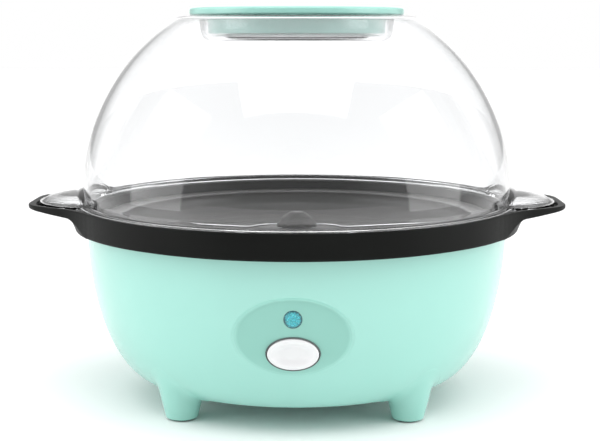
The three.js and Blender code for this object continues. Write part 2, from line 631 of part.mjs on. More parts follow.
function makeSwitchBracket() {
  let plate = solid(block(2 * BRACKET.halfWidth, 2 * BRACKET.halfHeight, BRACKET.backW, BRACKET.frontW));
  plate = plate.subtract(solid(cylinder(3, -20, -10, 12)));
  for (const x of [-BUTTON.fixingX, BUTTON.fixingX]) {
    plate = plate.subtract(solid(cylinder(CLEAR_R, -20, -10, 8).translate(x, 0, 0)));
  }
  return onPanel(BUTTON.z, part('switch_bracket', surface(plate), FINISH.zinc));
}

function makeSwitchScrews() {
  return [-BUTTON.fixingX, BUTTON.fixingX].map((x, i) => {
    return onPanel(BUTTON.z, screw(`switch_screw_${i + 1}`, 2.8, 1.1, 9, x, 0, BRACKET.backW - GAP));
  });
}

function makeSwitchBody() {
  const { frontW, backW, halfWidth, halfHeight, plungerR } = SWITCH;
  let body = solid(block(2 * halfWidth, 2 * halfHeight, backW, frontW));
  body = body.subtract(solid(cylinder(plungerR + GAP, -26, -10, 12)));
  for (const x of [-5, 5]) {
    body = body.add(solid(block(0.8, 5, backW - 6, backW + 1).translate(x, 0, 0)));
  }
  return onPanel(BUTTON.z, part('switch_body', surface(body), FINISH.phenolic));
}

function makeIndicatorLens() {
  const { r } = LENS;
  const profile = [[0, -4.2], [r + 1.5, -4.2], [r + 1.5, -3], [r, -3], [r, 0], [r * 0.6, 0.5], [0, 0.7]];
  return onPanel(LENS.z, part('indicator_lens', revolve(profile, 16), FINISH.lens));
}

function makeLampHolder() {
  return onPanel(LENS.z, part('lamp_holder', tubeRing(5, 3.4, -14, -4.5, 14), FINISH.nylon));
}

function makeIndicatorLamp() {
  const profile = [[0, -16], [2.6, -16], [2.6, -7], [1.4, -5.4], [0, -5]];
  return onPanel(LENS.z, part('indicator_lamp', revolve(profile, 12), FINISH.lens));
}

// ---------------------------------------------------------------- mains inlet and wiring
function makeInletBush() {
  const { bossY, holeR, flangeR, boreR } = INLET;
  const neckR = holeR - GAP;
  const flangeFrom = bossY + GAP;
  const profile = [[boreR, 92], [neckR, 92], [neckR, flangeFrom], [flangeR, flangeFrom]];
  profile.push([flangeR, flangeFrom + 1.6], [flangeR - 1.4, flangeFrom + 2.8], [boreR, flangeFrom + 2.8]);
  const bush = part('cord_inlet_bush', revolveRing(profile, 16), FINISH.rubber);
  bush.rotation.set(-Math.PI / 2, 0, 0);
  bush.position.set(0, 0, INLET.z);
  return bush;
}

function makeCordClamp() {
  const bottomZ = BODY.bottomZ + BODY.floor + GAP;
  let bar = solid(block(26, 8, bottomZ, bottomZ + 3));
  bar = bar.add(solid(block(13, 8, bottomZ + 2, bottomZ + 7)));
  bar = bar.subtract(solid(block(8.4, 20, bottomZ - 1, bottomZ + 4.4)));
  for (const x of [-CLAMP.screwX, CLAMP.screwX]) {
    bar = bar.subtract(solid(cylinder(CLEAR_R, 10, 30, 8).translate(x, 0, 0)));
  }
  const clamp = part('cord_clamp', surface(bar), FINISH.nylon);
  clamp.position.set(0, CLAMP.y, 0);
  return clamp;
}

function makeClampScrews() {
  const seatZ = BODY.bottomZ + BODY.floor + GAP + 3 + GAP;
  return [-CLAMP.screwX, CLAMP.screwX].map((x, i) => {
    const mesh = screw(`clamp_screw_${i + 1}`, 2.3, 1.1, 6, x, CLAMP.y, seatZ);
    mesh.rotation.x = Math.PI;
    return mesh;
  });
}

function makeTerminalBlock() {
  const bottomZ = BODY.bottomZ + BODY.floor + GAP;
  let body = solid(block(30, 10, bottomZ, bottomZ + 6));
  for (const x of [-10, 0, 10]) {
    body = body.add(solid(block(7, 8, bottomZ + 5, bottomZ + 11).translate(x, 0, 0)));
  }
  const mesh = part('terminal_block', surface(body), FINISH.nylon);
  mesh.position.set(BLOCK.x, BLOCK.y, 0);
  mesh.rotation.z = degrees(BLOCK.turn);
  return mesh;
}

function makeWires() {
  const endY = -Math.sqrt(ELEMENT.loopR ** 2 - ELEMENT.endX ** 2);
  const routes = {
    wire_block_to_switch: [[-53, 44, 29], [-60, 34, 36], [-66, 8, 38], [-58, -28, 40], [-30, -56, 44],
      [-9, -65, 50], [-5.4, -66, 54]],
    wire_block_to_element: [[-46, 50, 29], [-50, 40, 38], [-52, 10, 46], [-44, -24, 50], [-24, -48, 50],
      [-10, -56, 53], [-8, endY, 57]],
    wire_switch_to_element: [[5.4, -66, 55.6], [7, -62.5, 54], [8, -59, 55], [8, endY, 57]],
  };
  return Object.entries(routes).map(([name, points]) => part(name, rod(points, 1, 5, 16), FINISH.wire));
}

// ---------------------------------------------------------------- dome cover and cap
// A finger tab: half a hollow egg that stands on its tray and leans on the dome's wall.
function tabSolid(turn) {
  const bottomZ = HANDLE.trayZ + GAP;
  const lobe = (inset) => {
    const ball = new THREE.SphereGeometry(1, MEDIUM_ROUND, 12).rotateX(Math.PI / 2);
    ball.scale(TAB.reach - TAB.centreX - inset, TAB.halfWidth - inset, TAB.rise - inset);
    return solid(ball.translate(TAB.centreX, 0, bottomZ).rotateZ(turn));
  };
  const above = solid(block(3 * TAB.reach, 3 * TAB.halfWidth, bottomZ, 120));
  const inside = solid(cylinder(DOME.outerR - 1, 90, 120, ROUND));
  return lobe(0).subtract(lobe(DOME.wall)).intersect(above).subtract(inside);
}

function makeDomeCover() {
  const { outerR, wall, centreZ, topZ, shoulderR } = DOME;
  const innerR = outerR - wall;
  const roofZ = topZ - wall;
  const wellBottomZ = WELL.floorZ - WELL.wall;
  const latitude = (r, z) => THREE.MathUtils.radToDeg(Math.asin((z - centreZ) / r));
  const outside = arc(0, centreZ, outerR, outerR, 0, latitude(outerR, topZ - 1.2), 8);
  const inside = arc(0, centreZ, innerR, innerR, latitude(innerR, roofZ), 0, 6);
  const flangeTopZ = FLANGE.z + wall;
  const profile = [[innerR, FLANGE.z], [FLANGE.r, FLANGE.z], [FLANGE.r, flangeTopZ]];
  profile.push([outerR + 0.9, flangeTopZ], ...outside, [shoulderR, topZ], [WELL.r, topZ]);
  profile.push([WELL.floorR, WELL.floorZ], [0, WELL.floorZ], [0, wellBottomZ]);
  profile.push([WELL.floorR + WELL.wall, wellBottomZ]);
  profile.push([WELL.r + WELL.wall, roofZ], ...inside);
  let dome = solid(revolveRing(profile));
  for (const turn of [0, Math.PI]) dome = dome.add(tabSolid(turn));
  for (let i = 0; i < WELL.slots; i += 1) {
    const slot = block(WELL.slotLength, 3, wellBottomZ - 1, WELL.floorZ + 1).translate(WELL.slotAt, 0, 0);
    dome = dome.subtract(solid(slot.rotateZ(degrees((360 * i) / WELL.slots))));
  }
  return part('dome_cover', surface(dome), FINISH.clear);
}

function makeTopCap() {
  const { discR, discZ, discThick, skirtR, skirtBottomZ, wall } = CAP;
  const topZ = discZ + discThick;
  const profile = [[skirtR - wall - 0.8, skirtBottomZ], [skirtR - 0.8, skirtBottomZ], [skirtR, discZ]];
  profile.push([discR - 0.6, discZ], [discR, discZ + 0.7], [discR, topZ - 0.9], [discR - 0.9, topZ]);
  profile.push([0, topZ], [0, topZ - wall], [skirtR - wall, topZ - wall]);
  return part('top_cap', revolveRing(profile, 40), FINISH.mint);
}

// ---------------------------------------------------------------- assembly
const popcornMaker = new THREE.Group();
popcornMaker.add(makeBaseHousing(), makeBottomCover(), ...makeFootPads(), ...makeCoverScrews());
popcornMaker.add(makeRimRing(), ...makeRingScrews());
popcornMaker.add(makePoppingPan(), makeHeatingElement(), makeHeatShield(), ...makeShieldScrews());
popcornMaker.add(makeThermostat(), makeThermalFuse());
popcornMaker.add(makeMotorCan(), makeMotorCover(), ...makeMotorScrews(), makeStatorCoil());
popcornMaker.add(makeMotorRotor(), makeIdlerGear(), makeOutputGear());
popcornMaker.add(makeDriveShaft(), makeShaftBush(), makeStirHub(), ...makeStirArms());
popcornMaker.add(makePowerButton(), makeButtonBezel(), makeSwitchPlunger(), makeButtonSpring());
popcornMaker.add(makeSwitchBracket(), ...makeSwitchScrews(), makeSwitchBody());
popcornMaker.add(makeIndicatorLens(), makeLampHolder(), makeIndicatorLamp());
popcornMaker.add(makeInletBush(), makeCordClamp(), ...makeClampScrews(), makeTerminalBlock(), ...makeWires());
popcornMaker.add(makeDomeCover(), makeTopCap());

export default popcornMaker;
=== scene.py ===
"""Stirring popcorn maker: the fine surfaces, the finishes and the studio, round the packed frame.

Shapes are worked out in millimetres, +Z up and the front towards -Y, and go into the meshes in metres.
"""
import json
import math

import bmesh
import bpy
import numpy as np
from bpy.props import FloatProperty, FloatVectorProperty, PointerProperty
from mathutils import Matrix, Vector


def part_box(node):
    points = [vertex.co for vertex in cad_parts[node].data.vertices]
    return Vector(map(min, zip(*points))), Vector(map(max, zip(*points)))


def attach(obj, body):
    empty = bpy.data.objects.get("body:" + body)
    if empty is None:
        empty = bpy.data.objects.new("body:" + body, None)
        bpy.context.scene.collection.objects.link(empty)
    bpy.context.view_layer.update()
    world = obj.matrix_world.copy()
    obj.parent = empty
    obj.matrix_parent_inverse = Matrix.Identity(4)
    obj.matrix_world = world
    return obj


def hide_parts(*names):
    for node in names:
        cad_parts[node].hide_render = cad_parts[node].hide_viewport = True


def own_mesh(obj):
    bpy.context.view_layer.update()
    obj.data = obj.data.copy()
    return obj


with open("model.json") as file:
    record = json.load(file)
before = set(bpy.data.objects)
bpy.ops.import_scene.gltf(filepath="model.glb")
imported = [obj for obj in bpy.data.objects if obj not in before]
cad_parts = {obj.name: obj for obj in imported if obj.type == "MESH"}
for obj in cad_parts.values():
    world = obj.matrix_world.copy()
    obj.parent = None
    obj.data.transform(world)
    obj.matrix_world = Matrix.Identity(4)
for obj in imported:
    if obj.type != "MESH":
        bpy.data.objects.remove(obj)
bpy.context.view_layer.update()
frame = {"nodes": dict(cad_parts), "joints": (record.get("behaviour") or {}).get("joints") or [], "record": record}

bl_info = {
    "name": "Stirring popcorn maker",
    "version": (1, 0, 0),
    "blender": (4, 5, 0),
    "location": "View3D > Sidebar > Popcorn",
    "description": "Builds the moulded shells, the clear dome, the stirrer and the studio",
    "category": "Object",
}

MM = 0.001
TURN = 2 * math.pi


# ---------------------------------------------------------------- places taken from the frame
def low(node, axis):
    """The lowest X, Y or Z of a CAD node, in millimetres."""
    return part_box(node)[0]["XYZ".index(axis)] / MM


def high(node, axis):
    """The highest X, Y or Z of a CAD node, in millimetres."""
    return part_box(node)[1]["XYZ".index(axis)] / MM


# The ring's top is read where it is highest, at the handles, and its front stands as high.
RIM = {"outer": high("rim_ring", "Y"), "reach": high("rim_ring", "X"), "top": high("rim_ring", "Z")}
RIM |= {"bottom": RIM["top"] - 13, "deck": RIM["top"] - 2, "lip": 1.5, "inner": 98.0, "seat": 108.2}
HANDLE_TOP, TRAY_FLOOR = 105.6, 103.0
BOWL = {"top_r": high("base_housing", "X"), "base_r": 80.0, "bottom": 11.0, "top": RIM["top"] - 12}
BOWL |= {"wall": 3.0, "floor": 5.0, "cover_r": low("bottom_cover", "Y") * -1 + 0.3, "opening_r": 60.0}
BOWL |= {"depth": 80.0}    # from the wall's top edge down to its lowest row
FOOT = {"x": high("foot_pad_1", "X") - 6.4, "y": -(low("foot_pad_1", "Y") + 6.4), "sole": 0.8}
PANEL = {"half_width": 29.3, "half_height": 20.4, "z": 53.6, "depth": 1.8}
BUTTON = {"half_width": 12.4, "half_height": 8.3, "z": 45.4, "proud": 1.0}
BUTTON |= {"clearance": 0.85, "trim": 0.72}
LENS = {"r": 4.5, "z": 63.0}
INLET = {"z": 32.0, "boss_r": 11.0, "boss_y": low("cord_inlet_bush", "Y") + 15.5, "hole_r": 6.6}
PAN = {"floor": 82.0, "floor_r": 79.0, "thick": 1.6, "wall_r": 97.2, "flange_r": 107.8, "flange": 96.9}
PAN |= {"hole_r": 7.0, "stud_at": 42.0, "stud_r": 3.5, "stud_bottom": low("popping_pan", "Z")}
DOME = {"r": 116.3, "centre": 109.0, "top": high("dome_cover", "Z")}
DOME |= {"flange": RIM["deck"] + 0.3, "flange_r": 119.2}
TAB = {"reach": high("dome_cover", "X"), "centre": 114.0, "half": 37.0, "rise": 9.2, "foot": TRAY_FLOOR + 0.3}
WELL = {"r": 50.6, "floor_r": 49.4, "floor": DOME["top"] - 11.5}
WELL |= {"slots": 10, "slot_from": 17.0, "slot_to": 39.0}
CAP = {"disc_r": high("top_cap", "X"), "top": high("top_cap", "Z"), "bottom": low("top_cap", "Z")}
CAP |= {"disc": high("top_cap", "Z") - 3.8, "skirt_r": 48.4, "wall": 2.2}
HUB = {"r": high("stir_hub", "X"), "bottom": low("stir_hub", "Z"), "top": high("stir_hub", "Z"), "arm": 89.5}
ARM_RUN_Z = 84.6


# ---------------------------------------------------------------- outlines
def unit(vector):
    return vector / np.linalg.norm(vector, axis=-1, keepdims=True)


def ease(share):
    """0 to 1 with level ends: 3t^2 - 2t^3."""
    share = np.clip(share, 0, 1)
    return share * share * (3 - 2 * share)


def rounded(corners, closed=False, steps=5):
    """Straight lines between corners (a, b) or (a, b, radius), each radius an arc that both its lines
    touch.

    The arc goes from one touching point to the other at equal angles about its centre. A point just
    outside each end of the arc keeps the flat beside it flat when the shape is shaded smooth."""
    spots = [np.array(corner[:2], float) for corner in corners]
    made = []
    for i, corner in enumerate(corners):
        here = spots[i]
        if len(corner) < 3 or (not closed and i in (0, len(corners) - 1)):
            made.append(here[None])
            continue
        radius = corner[2]
        back, on = unit(spots[i - 1] - here), unit(spots[(i + 1) % len(spots)] - here)
        half = 0.5 * math.acos(np.clip(back @ on, -1, 1))
        centre = here + unit(back + on) * radius / math.sin(half)
        start, end = here + back * radius / math.tan(half), here + on * radius / math.tan(half)
        swing = math.pi - 2 * half
        share = np.linspace(0, 1, steps + 1)[:, None]
        arms = np.sin((1 - share) * swing) * (start - centre) + np.sin(share * swing) * (end - centre)
        hold = 0.15 * radius
        made += [(start + back * hold)[None], centre + arms / math.sin(swing), (end + on * hold)[None]]
    return np.concatenate(made)


def arc(centre_z, r, start, end, steps):
    """Points of a circle about (0, centre_z), by latitude in degrees."""
    angle = np.radians(np.linspace(start, end, steps + 1))
    return np.stack([r * np.cos(angle), centre_z + r * np.sin(angle)], -1)


def bent(start, control, end, steps=8):
    """A quadratic curve: (1-t)^2 start + 2t(1-t) control + t^2 end."""
    share = np.linspace(0, 1, steps + 1)[:, None]
    start, control, end = (np.array(p, float) for p in (start, control, end))
    return (1 - share) ** 2 * start + 2 * share * (1 - share) * control + share**2 * end


def spline(points, per_span=8):
    """A smooth line through the points: on each span the cubic whose end slopes run between the
    neighbours."""
    spots = np.array(points, float)
    ends = np.concatenate([2 * spots[:1] - spots[1:2], spots, 2 * spots[-1:] - spots[-2:-1]])
    a, b, c, d = ends[:-3, None], ends[1:-2, None], ends[2:-1, None], ends[3:, None]
    t = (np.arange(per_span) / per_span)[None, :, None]
    curve = 0.5 * (2 * b + (c - a) * t + (2 * a - 5 * b + 4 * c - d) * t**2 + (3 * b - a - 3 * c + d) * t**3)
    return np.concatenate([curve.reshape(-1, spots.shape[1]), spots[-1:]])


# ---------------------------------------------------------------- surfaces
def turned(profile, angles):
    """Each [r, z] of the profile carried round Z: (r sin a, -r cos a, z), with a = 0 at the front."""
    r, z = profile[:, 0, None], profile[:, 1, None]
    return np.stack([r * np.sin(angles), -r * np.cos(angles), z + 0 * angles], -1)


def round_angles(columns):
    return np.arange(columns) * TURN / columns


def swept(line, radius, sides, reference):
    """A round bar along a line: circles square to the line, one side of each facing the reference
    direction.

    The ends are half balls: their circles follow radius cos a at radius sin a past the line's end."""
    along = unit(np.gradient(line, axis=0))
    cap = np.radians([90, 70, 50, 30, 12])
    first = line[0] - along[0] * radius * np.sin(cap)[:, None]
    last = line[-1] + along[-1] * radius * np.sin(cap[::-1])[:, None]
    centres = np.concatenate([first, line, last])
    widths = radius * np.concatenate([np.cos(cap), np.ones(len(line)), np.cos(cap[::-1])])
    runs = np.concatenate([np.repeat(along[:1], 5, 0), along, np.repeat(along[-1:], 5, 0)])
    across = unit(np.cross(runs, np.array(reference, float)))
    up = np.cross(across, runs)
    a = round_angles(sides)[None, :, None]
    return centres[:, None] + widths[:, None, None] * (np.cos(a) * across[:, None] + np.sin(a) * up[:, None])


class Skin:
    """Grids of points, in millimetres, gathered into one closed mesh."""

    def __init__(self):
        self.points, self.cells, self.count = [], [], 0

    def add(self, grid, wrap=True, loop=False, keep=None):
        """grid[row, column] is a point. wrap joins the last column to the first and loop the last row to
        the first. keep says which cells between rows and columns are filled."""
        rows, columns = grid.shape[:2]
        index = np.arange(rows * columns).reshape(rows, columns) + self.count
        index = np.concatenate([index, index[:, :1]], 1) if wrap else index
        index = np.concatenate([index, index[:1]], 0) if loop else index
        cells = np.stack([index[:-1, :-1], index[:-1, 1:], index[1:, 1:], index[1:, :-1]], -1)
        self.cells.append(cells[keep] if keep is not None else cells.reshape(-1, 4))
        self.points.append(grid.reshape(-1, 3))
        self.count += rows * columns
        return self

    def mesh(self, name):
        """The merged mesh in metres, every face pointing out of its own closed shell."""
        points, cells = np.concatenate(self.points) * MM, np.concatenate(self.cells)
        mesh = bpy.data.meshes.new(name)
        mesh.from_pydata(points.tolist(), [], cells.tolist())
        work = bmesh.new()
        work.from_mesh(mesh)
        bmesh.ops.remove_doubles(work, verts=work.verts, dist=0.002 * MM)
        loose = [v for v in work.verts if not v.link_faces]
        bmesh.ops.delete(work, geom=loose, context="VERTS")
        bmesh.ops.recalc_face_normals(work, faces=work.faces)
        work.to_mesh(mesh)
        work.free()
        return mesh

    def piece(self, name, finish, body, *nodes, crease=38):
        """The mesh as a piece with its finish, riding on a body in place of CAD nodes."""
        mesh = self.mesh(name)
        mesh.shade_smooth()
        mesh.set_sharp_from_angle(angle=math.radians(crease))
        mesh.materials.append(FINISHES[finish]())
        made = bpy.data.objects.new(name, mesh)
        bpy.context.scene.collection.objects.link(made)
        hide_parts(*nodes)
        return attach(made, body)


# ---------------------------------------------------------------- shader maths
class Value:
    """A shader socket. Arithmetic on it adds Math nodes to its material."""

    def __init__(self, paint, socket):
        self.paint, self.socket = paint, socket

    def _math(self, operation, first, second):
        return self.paint.node("ShaderNodeMath", {"operation": operation}, {0: first, 1: second})

    def __add__(self, other):
        return self._math("ADD", self, other)

    __radd__ = __add__

    def __sub__(self, other):
        return self._math("SUBTRACT", self, other)

    def __rsub__(self, other):
        return self._math("SUBTRACT", other, self)

    def __mul__(self, other):
        return self._math("MULTIPLY", self, other)

    __rmul__ = __mul__

    def __truediv__(self, other):
        return self._math("DIVIDE", self, other)

    def __rtruediv__(self, other):
        return self._math("DIVIDE", other, self)

    def __pow__(self, other):
        return self._math("POWER", self, other)


class Nodes:
    """The nodes of one material or world."""

    def __init__(self, tree):
        self.tree = tree

    def node(self, kind, settings=None, inputs=None, out=0):
        """Any node: its type, its settings, then the values or links of its sockets."""
        made = self.tree.nodes.new(kind)
        for name, value in (settings or {}).items():
            if name == "stops":
                ramp = made.color_ramp.elements
                while len(ramp) < len(value):
                    ramp.new(1)
                for stop, (place, colour) in zip(ramp, value):
                    stop.position, stop.color = place, (*colour, 1)
            else:
                setattr(made, name, value)
        for key, value in (inputs or {}).items():
            self.feed(made.inputs[key], value)
        return Value(self, made.outputs[out])

    def feed(self, socket, value):
        if isinstance(value, Value):
            self.tree.links.new(value.socket, socket)
        elif isinstance(value, tuple) and len(value) == 3 and socket.type == "RGBA":
            socket.default_value = (*value, 1)
        else:
            socket.default_value = value

    def between(self, value, start, end, low_value=0.0, high_value=1.0):
        names = {"Value": value, "From Min": start, "From Max": end}
        names |= {"To Min": low_value, "To Max": high_value}
        return self.node("ShaderNodeMapRange", {"clamp": True}, names)

    def parts(self, vector, kind="ShaderNodeSeparateXYZ"):
        """The three parts of a vector or a colour."""
        split = self.node(kind, None, {0: vector}).socket.node
        return [Value(self, out) for out in split.outputs[:3]]


class Paint(Nodes):
    """One material: a Principled shader whose plain values are set on it and whose patterns are fed to
    it."""

    def __init__(self, name, colour, **values):
        self.material = bpy.data.materials.new(f"{name}_finish")
        self.material.use_nodes = True
        self.material.diffuse_color = (*colour, 1)
        super().__init__(self.material.node_tree)
        self.shader = self.tree.nodes["Principled BSDF"]
        self.shader.inputs["Base Color"].default_value = (*colour, 1)
        for socket, value in values.items():
            self.shader.inputs[socket.replace("_", " ").title().replace("Ior", "IOR")].default_value = value

    def set(self, socket, value):
        self.feed(self.shader.inputs[socket], value)
        return self

    def place(self, stretch=(1, 1, 1)):
        """The point on the piece, in metres, stretched along the axes."""
        spot = self.node("ShaderNodeTexCoord", out="Object")
        return self.node("ShaderNodeMapping", None, {"Vector": spot, "Scale": stretch})

    def noise(self, scale, detail=2.0, stretch=(1, 1, 1)):
        inputs = {"Vector": self.place(stretch), "Scale": scale, "Detail": detail}
        return self.node("ShaderNodeTexNoise", None, inputs)

    def cells(self, scale, feature="F1"):
        inputs = {"Vector": self.place(), "Scale": scale}
        return self.node("ShaderNodeTexVoronoi", {"feature": feature}, inputs)

    def mix(self, share, first, second):
        """A colour between two colours."""
        inputs = {0: share, 6: first, 7: second}
        return self.node("ShaderNodeMix", {"data_type": "RGBA", "clamp_factor": True}, inputs, out=2)

    def bump(self, height, distance, strength=1.0):
        """Raises the surface by height times distance, which is in millimetres."""
        inputs = {"Height": height, "Distance": distance * MM, "Strength": strength}
        return self.set("Normal", self.node("ShaderNodeBump", None, inputs))


def shade(colour, share):
    """A colour made darker below 1 or lighter above."""
    return tuple(min(1.0, c * share) for c in colour)


# ---------------------------------------------------------------- finishes
def colours():
    return bpy.context.scene.popcorn_colours


def drifted(paint, colour):
    """The colour with a faint drift of tone."""
    drift = paint.between(paint.noise(14, 3), 0.3, 0.7)
    return paint.mix(drift, shade(colour, 0.975), shade(colour, 1.02))


def gloss_plastic(name, colour, roughness, coat=0.0):
    """Polished moulding: a faint drift of tone, hazier patches where hands wipe it and a mould's orange
    peel."""
    paint = Paint(name, colour, ior=1.5, coat_roughness=0.06)
    paint.set("Base Color", drifted(paint, colour))
    haze = paint.noise(45, 4)
    paint.set("Roughness", roughness + 0.07 * haze)
    paint.set("Coat Weight", coat)
    return paint.bump(paint.noise(900, 1) * 0.6 + paint.noise(240, 2), 0.012)


def mint_plastic():
    """The housing's moulding. The control panel's oval pocket is moulded satin, which leaves it a deeper
    tone."""
    mint = tuple(colours().mint)
    paint = gloss_plastic("mint_plastic", mint, 0.2, 0.35)
    x, y, z = paint.parts(paint.node("ShaderNodeTexCoord", out="Object"))
    across = x / (PANEL["half_width"] * MM)
    along = (z - PANEL["z"] * MM) / (PANEL["half_height"] * MM)
    from_middle = (across**2 + along**2) ** 0.5
    front = paint.between(y, -0.09, -0.095) * paint.between(z, 0.03, 0.045, 0.4, 1.0)
    pocket = paint.between(from_middle, 0.97, 0.9) * front
    # Painted shade: the pocket's colour is darkened to stand in for shade in the recess; its added roughness is
    # the satin finish
    painted_pocket_shade = (mint[0] * 0.72, mint[1] * 0.8, mint[2] * 0.78)
    paint.set("Base Color", paint.mix(pocket, drifted(paint, mint), painted_pocket_shade))
    paint.set("Roughness", 0.2 + 0.07 * paint.noise(45, 4) + 0.12 * pocket)
    return paint.material


def white_button():
    return gloss_plastic("white_button", tuple(colours().button), 0.12, 0.5).material


def satin_plastic(name, colour, roughness, grain):
    """Spark-eroded moulding: fine pits, a little greyer and rougher where the pits are deep."""
    paint = Paint(name, colour, ior=1.49)
    pits = paint.cells(grain, "SMOOTH_F1")
    drift = paint.between(paint.noise(25, 3), 0.35, 0.65)
    paint.set("Base Color", paint.mix(drift, shade(colour, 0.85), shade(colour, 1.2)))
    paint.set("Roughness", paint.between(pits, 0.0, 0.8, roughness, roughness + 0.1))
    return paint.bump(pits + 0.5 * paint.noise(grain, 2), 0.02)


def black_plastic():
    paint = satin_plastic("black_plastic", tuple(colours().rim), 0.42, 1500)
    paint.shader.inputs["Specular IOR Level"].default_value = 0.1
    return paint.material


def grey_bezel():
    return satin_plastic("grey_bezel", (0.1, 0.115, 0.115), 0.35, 1800).material


def hub_phenolic():
    return satin_plastic("hub_phenolic", (0.022, 0.021, 0.02), 0.4, 1100).material


def dark_moulding():
    return satin_plastic("dark_moulding", (0.045, 0.036, 0.03), 0.45, 900).material


def nylon():
    paint = satin_plastic("nylon", (0.74, 0.7, 0.58), 0.42, 1200)
    paint.set("Subsurface Weight", 0.15)
    paint.set("Subsurface Scale", 2 * MM)
    return paint.material


def clear_plastic():
    """Clear moulding that lamps shine through, with faint flow waves and hair-fine wiping marks."""
    tint = tuple(colours().dome)
    paint = Paint("clear_plastic", tint, ior=1.49, transmission_weight=1.0)
    wiped = paint.noise(260, 3, (1, 1, 0.12))
    paint.set("Roughness", paint.between(wiped, 0.4, 0.8, 0.0, 0.035))
    paint.bump(paint.noise(18, 1), 0.05)
    open_way = paint.node("ShaderNodeBsdfTransparent", None, {"Color": shade(tint, 0.97)})
    lamp_ray = paint.node("ShaderNodeLightPath", out="Is Shadow Ray")
    solid = Value(paint, paint.shader.outputs[0])
    both = paint.node("ShaderNodeMixShader", None, {0: lamp_ray, 1: solid, 2: open_way})
    paint.tree.links.new(both.socket, paint.tree.nodes["Material Output"].inputs["Surface"])
    return paint.material


def non_stick():
    """Sprayed coating on pressed metal: pale flecks, a pebbled skin and rings where the arms have
    rubbed."""
    dark = tuple(colours().coating)
    paint = Paint("non_stick", dark, ior=1.45, coat_roughness=0.25)
    fleck = paint.between(paint.cells(420), 0.0, 0.16, 1.0, 0.0)
    across, along, _ = paint.parts(paint.place())
    radius = (across**2 + along**2) ** 0.5
    track = paint.node("ShaderNodeMath", {"operation": "SINE"}, {0: radius * 1500})
    rubbed = paint.between(track + 2.2 * paint.noise(30, 3), 1.2, 2.4) * 0.25
    paint.set("Base Color", paint.mix(fleck * 0.25 + rubbed * 0.2, dark, (0.2, 0.19, 0.18)))
    paint.set("Roughness", 0.36 - 0.12 * rubbed + 0.08 * paint.noise(120, 2))
    paint.set("Coat Weight", 0.2)
    return paint.bump(paint.noise(900, 2) + 0.3 * fleck, 0.012).material


def metal(name, colour, roughness, stretch, scale, depth):
    """Drawn or rolled metal: fine lines along the way it was worked, and a cloudy change of shine."""
    paint = Paint(name, colour, metallic=1.0)
    lines = paint.noise(scale, 3, stretch)
    cloud = paint.noise(60, 4)
    paint.set("Base Color", paint.mix(cloud, shade(colour, 0.88), shade(colour, 1.06)))
    paint.set("Roughness", roughness + 0.16 * lines * cloud)
    return paint.bump(lines, depth)


def stainless_wire():
    return metal("stainless_wire", (0.72, 0.72, 0.73), 0.12, (1, 1, 1), 700, 0.01).material


def heater_sheath():
    """Sheathed element, blued and browned by heat."""
    paint = metal("heater_sheath", (0.3, 0.28, 0.27), 0.32, (1, 1, 1), 500, 0.02)
    scale = paint.between(paint.noise(90, 4), 0.35, 0.7)
    paint.set("Base Color", paint.mix(scale, (0.34, 0.32, 0.31), (0.2, 0.13, 0.1)))
    return paint.material


def zinc_sheet():
    """Zinc plate on rolled sheet: spangle that changes tone from grain to grain."""
    paint = metal("zinc_sheet", (0.6, 0.62, 0.63), 0.28, (1, 6, 1), 300, 0.012)
    spangle = Value(paint, paint.cells(140).socket.node.outputs["Color"])
    tone = paint.parts(spangle, "ShaderNodeSeparateColor")[0]
    paint.set("Base Color", paint.mix(tone, (0.5, 0.52, 0.53), (0.68, 0.7, 0.71)))
    return paint.material


def zinc_screw():
    return metal("zinc_screw", (0.55, 0.56, 0.57), 0.25, (1, 1, 4), 900, 0.01).material


def winding():
    """Enamelled wire laid in turns: ridges a wire's width apart up the coil."""
    paint = Paint("winding", (0.42, 0.16, 0.07), metallic=0.6, coat_roughness=0.1)
    height = paint.parts(paint.place())[2]
    ridge = paint.node("ShaderNodeMath", {"operation": "SINE"}, {0: height * (TURN / (0.6 * MM))})
    paint.set("Base Color", paint.mix(paint.noise(200, 2), (0.36, 0.13, 0.05), (0.52, 0.22, 0.1)))
    paint.set("Roughness", 0.22 + 0.12 * paint.noise(400, 2))
    paint.set("Coat Weight", 0.5)
    return paint.bump(ridge, 0.12).material


def lamp_lens():
    """Cyan lamp cover: bright where it is thin over the lamp, deep teal towards its rim and between
    pebbles."""
    lens_cyan = tuple(colours().lamp)
    paint = Paint("lamp_lens", lens_cyan, ior=1.49, coat_roughness=0.03)
    spot = paint.node("ShaderNodeTexCoord", out="Object")
    shift = {"Vector": spot, "Location": (0, 0, -LENS["z"] * MM), "Scale": (1, 0, 1)}
    offset = paint.node("ShaderNodeMapping", None, shift)
    away = paint.node("ShaderNodeVectorMath", {"operation": "LENGTH"}, {0: offset}, out="Value")
    # Painted shade: the cover darkens towards its rim, standing in for the shadow gap round it
    edge = paint.between(away, 2.2 * MM, LENS["r"] * MM)
    # Painted shade between pebbles; the same cells also vary the roughness
    pebble_shade_and_roughness = paint.between(paint.cells(1000), 0.15, 0.6)
    paint.set("Base Color", paint.mix(edge * edge * 0.9 + pebble_shade_and_roughness * 0.45, lens_cyan, shade(lens_cyan, 0.14)))
    paint.set("Roughness", 0.08 + 0.1 * pebble_shade_and_roughness)
    paint.set("Coat Weight", 0.6)
    paint.set("Subsurface Weight", 0.2)
    paint.set("Subsurface Scale", 1.5 * MM)
    return paint.material


def lamp_glass():
    """Milky glass and glazed ceramic."""
    paint = Paint("lamp_glass", (0.82, 0.84, 0.82), ior=1.5)
    paint.set("Roughness", 0.06 + 0.08 * paint.noise(300, 2))
    paint.set("Base Color", paint.mix(paint.noise(150, 2), (0.78, 0.8, 0.78), (0.88, 0.88, 0.85)))
    return paint.bump(paint.noise(600, 1), 0.01).material


